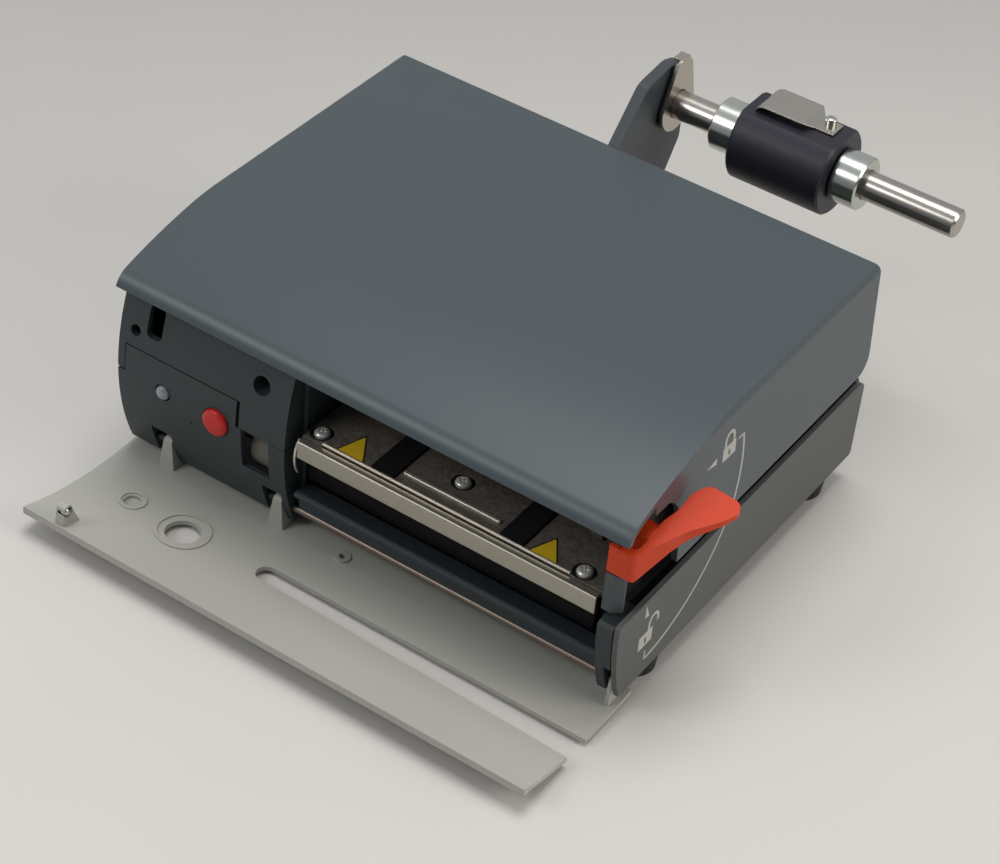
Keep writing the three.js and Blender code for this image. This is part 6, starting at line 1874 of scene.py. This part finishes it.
class Insides:
    """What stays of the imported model: the drive, the board, the media path, the rear sockets."""

    DRESS = {
        "panel_dark": ("base_tray", "centre_plate"),
        "zinc": ("media_guide_plate", "motor_pinion", "usb_socket", "serial_socket"),
        "black_plastic": ("stepper_motor", "ribbon_supply_hub", "ribbon_takeup_hub", "fixed_edge_guide",
                          "sliding_edge_guide", "media_sensor", "power_inlet", "switch_frame",
                          "switch_rocker"),
        "nylon": ("platen_gear", "idler_gear", "upper_idler_gear", "takeup_gear"),
        "shaft_steel": ("supply_spindle", "takeup_spindle"),
        "board_green": ("control_board",),
    }

    def build(self, bench: Bench) -> None:
        """Dresses the nodes that stay in view."""
        for finish, nodes in self.DRESS.items():
            bench.dress(finish, *nodes)


@dataclass
class Studio:
    """The camera at the photograph's angle, a pale floor and soft light."""

    place: Triple = (528.84, -594.98, 674.81)
    right: Triple = (0.820537, 0.566785, 0.073981)
    up: Triple = (-0.413356, 0.498998, 0.761668)
    lens: float = 95.4
    sensor: float = 36.0
    clip: Point = (0.01, 50.0)
    floor_colour: tuple[int, int, int] = (203, 200, 195)
    floor_roughness: float = 0.6
    floor_mottle: float = 0.012
    floor_bump: float = 0.02
    floor_size: float = 14.0
    # Painted shade on the floor: its colour runs darker towards the back.
    shade_toward: Triple = (-0.8, 1.0, 0.0)
    floor_painted_shade: Quad = (-0.05, 0.5, 1.0, 0.68)
    sky: float = 0.5
    dark_side: Triple = (0.55, -0.8, 0.15)
    sky_stops: tuple[tuple[float, Quad], ...] = (
        (0.35, (1.0, 1.03, 1.08, 1.0)), (0.72, (0.22, 0.23, 0.25, 1.0)))
    lamps: tuple[tuple[str, Triple, float, float, Triple], ...] = (
        ("side", (1.9, 0.4, 1.0), 1.2, 17.0, (1.0, 0.94, 0.86)),
        ("window", (-0.9, -1.3, 1.3), 0.8, 8.5, (1.0, 1.0, 1.0)),
        ("ceiling", (-0.1, 0.3, 2.3), 1.3, 27.0, (1.0, 0.99, 0.97)),
    )

    def camera(self, bench: Bench) -> None:
        """Sets the camera where the photograph was taken."""
        data = bpy.data.cameras.new("photo_camera")
        data.lens = self.lens
        data.sensor_width = self.sensor
        data.sensor_fit = "HORIZONTAL"
        data.clip_start, data.clip_end = self.clip
        camera = bpy.data.objects.new("photo_camera", data)
        right, up = Vector(self.right), Vector(self.up)
        turn = Matrix((right, up, right.cross(up))).transposed().to_4x4()
        camera.matrix_world = Matrix.Translation(bench.origin + Vector(self.place) * MILLIMETRE) @ turn
        bpy.context.scene.collection.objects.link(camera)
        bpy.context.scene.camera = camera

    def floor(self) -> None:
        """The pale floor, which runs on to the horizon."""
        bm = bmesh.new()
        bmesh.ops.create_grid(bm, x_segments=1, y_segments=1, size=self.floor_size / 2)
        mesh = bpy.data.meshes.new("floor")
        bm.to_mesh(mesh)
        bm.free()
        floor = bpy.data.objects.new("floor", mesh)
        bpy.context.scene.collection.objects.link(floor)
        finish = Finish("floor", self.floor_colour, self.floor_roughness, mottle=self.floor_mottle,
                        bump=self.floor_bump)
        material = finish.build("floor")
        # Painted shade: the floor's colour darkens towards the back.
        self.paint_floor_shade(material)
        mesh.materials.append(material)

    def paint_floor_shade(self, material: bpy.types.Material) -> None:
        """Paints shade into the floor's colour, a little darker towards the back."""
        tree = material.node_tree
        shader = tree.nodes["Principled BSDF"]
        base = shader.inputs["Base Color"].links[0].from_socket
        place = add_node(tree, "ShaderNodeTexCoord").outputs["Object"]
        along = add_node(tree, "ShaderNodeVectorMath", {1: self.shade_toward}, {0: place}, "DOT_PRODUCT")
        ends = dict(zip(("From Min", "From Max", "To Min", "To Max"), self.floor_painted_shade))
        span = add_node(tree, "ShaderNodeMapRange", ends, {"Value": along.outputs["Value"]})
        blend = add_node(tree, "ShaderNodeVectorMath", {}, {0: base, "Scale": span.outputs["Result"]},
                         "SCALE")
        tree.links.new(blend.outputs["Vector"], shader.inputs["Base Color"])

    def light(self) -> None:
        """Soft lamps and an even sky."""
        world = bpy.data.worlds.new("sky")
        bpy.context.scene.world = world
        world.use_nodes = True
        tree = world.node_tree
        back = tree.nodes["Background"]
        back.inputs["Strength"].default_value = self.sky
        place = add_node(tree, "ShaderNodeTexCoord").outputs["Generated"]
        toward = add_node(tree, "ShaderNodeVectorMath", {1: self.dark_side}, {0: place}, "DOT_PRODUCT")
        ramp = add_node(tree, "ShaderNodeValToRGB", links={"Fac": toward.outputs["Value"]})
        for stop, (position, colour) in zip(ramp.color_ramp.elements, self.sky_stops):
            stop.position = position
            stop.color = colour
        tree.links.new(ramp.outputs["Color"], back.inputs["Color"])
        for name, place, size, power, colour in self.lamps:
            data = bpy.data.lights.new(name, "AREA")
            data.color = colour
            data.energy = power
            data.shape = "DISK"
            data.size = size
            lamp = bpy.data.objects.new(name, data)
            lamp.location = place
            lamp.rotation_euler = (Vector((0, 0, 0)) - Vector(place)).to_track_quat("-Z", "Y").to_euler()
            bpy.context.scene.collection.objects.link(lamp)

    def build(self, bench: Bench) -> None:
        """Sets up the camera, the floor, the light and the view transform."""
        self.camera(bench)
        self.floor()
        self.light()
        bpy.context.scene.view_settings.view_transform = "Standard"


def main() -> None:
    """Builds every sub-assembly in order."""
    logging.basicConfig(level=logging.INFO, format="%(message)s")
    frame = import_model()
    bench = Bench(frame)
    cover, head = Cover(), HeadUnit()
    Studio().build(bench)
    cover.build(bench)
    Housing().build(bench)
    Flap().build(bench)
    SideFrame().build(bench, cover)
    head.build(bench)
    HeadLever().build(bench, head)
    Roller().build(bench)
    Unwinder().build(bench)
    Feet().build(bench)
    Marks().build(bench, cover, head)
    Insides().build(bench)
    bpy.context.view_layer.update()


if __name__ == "__main__":
    main()
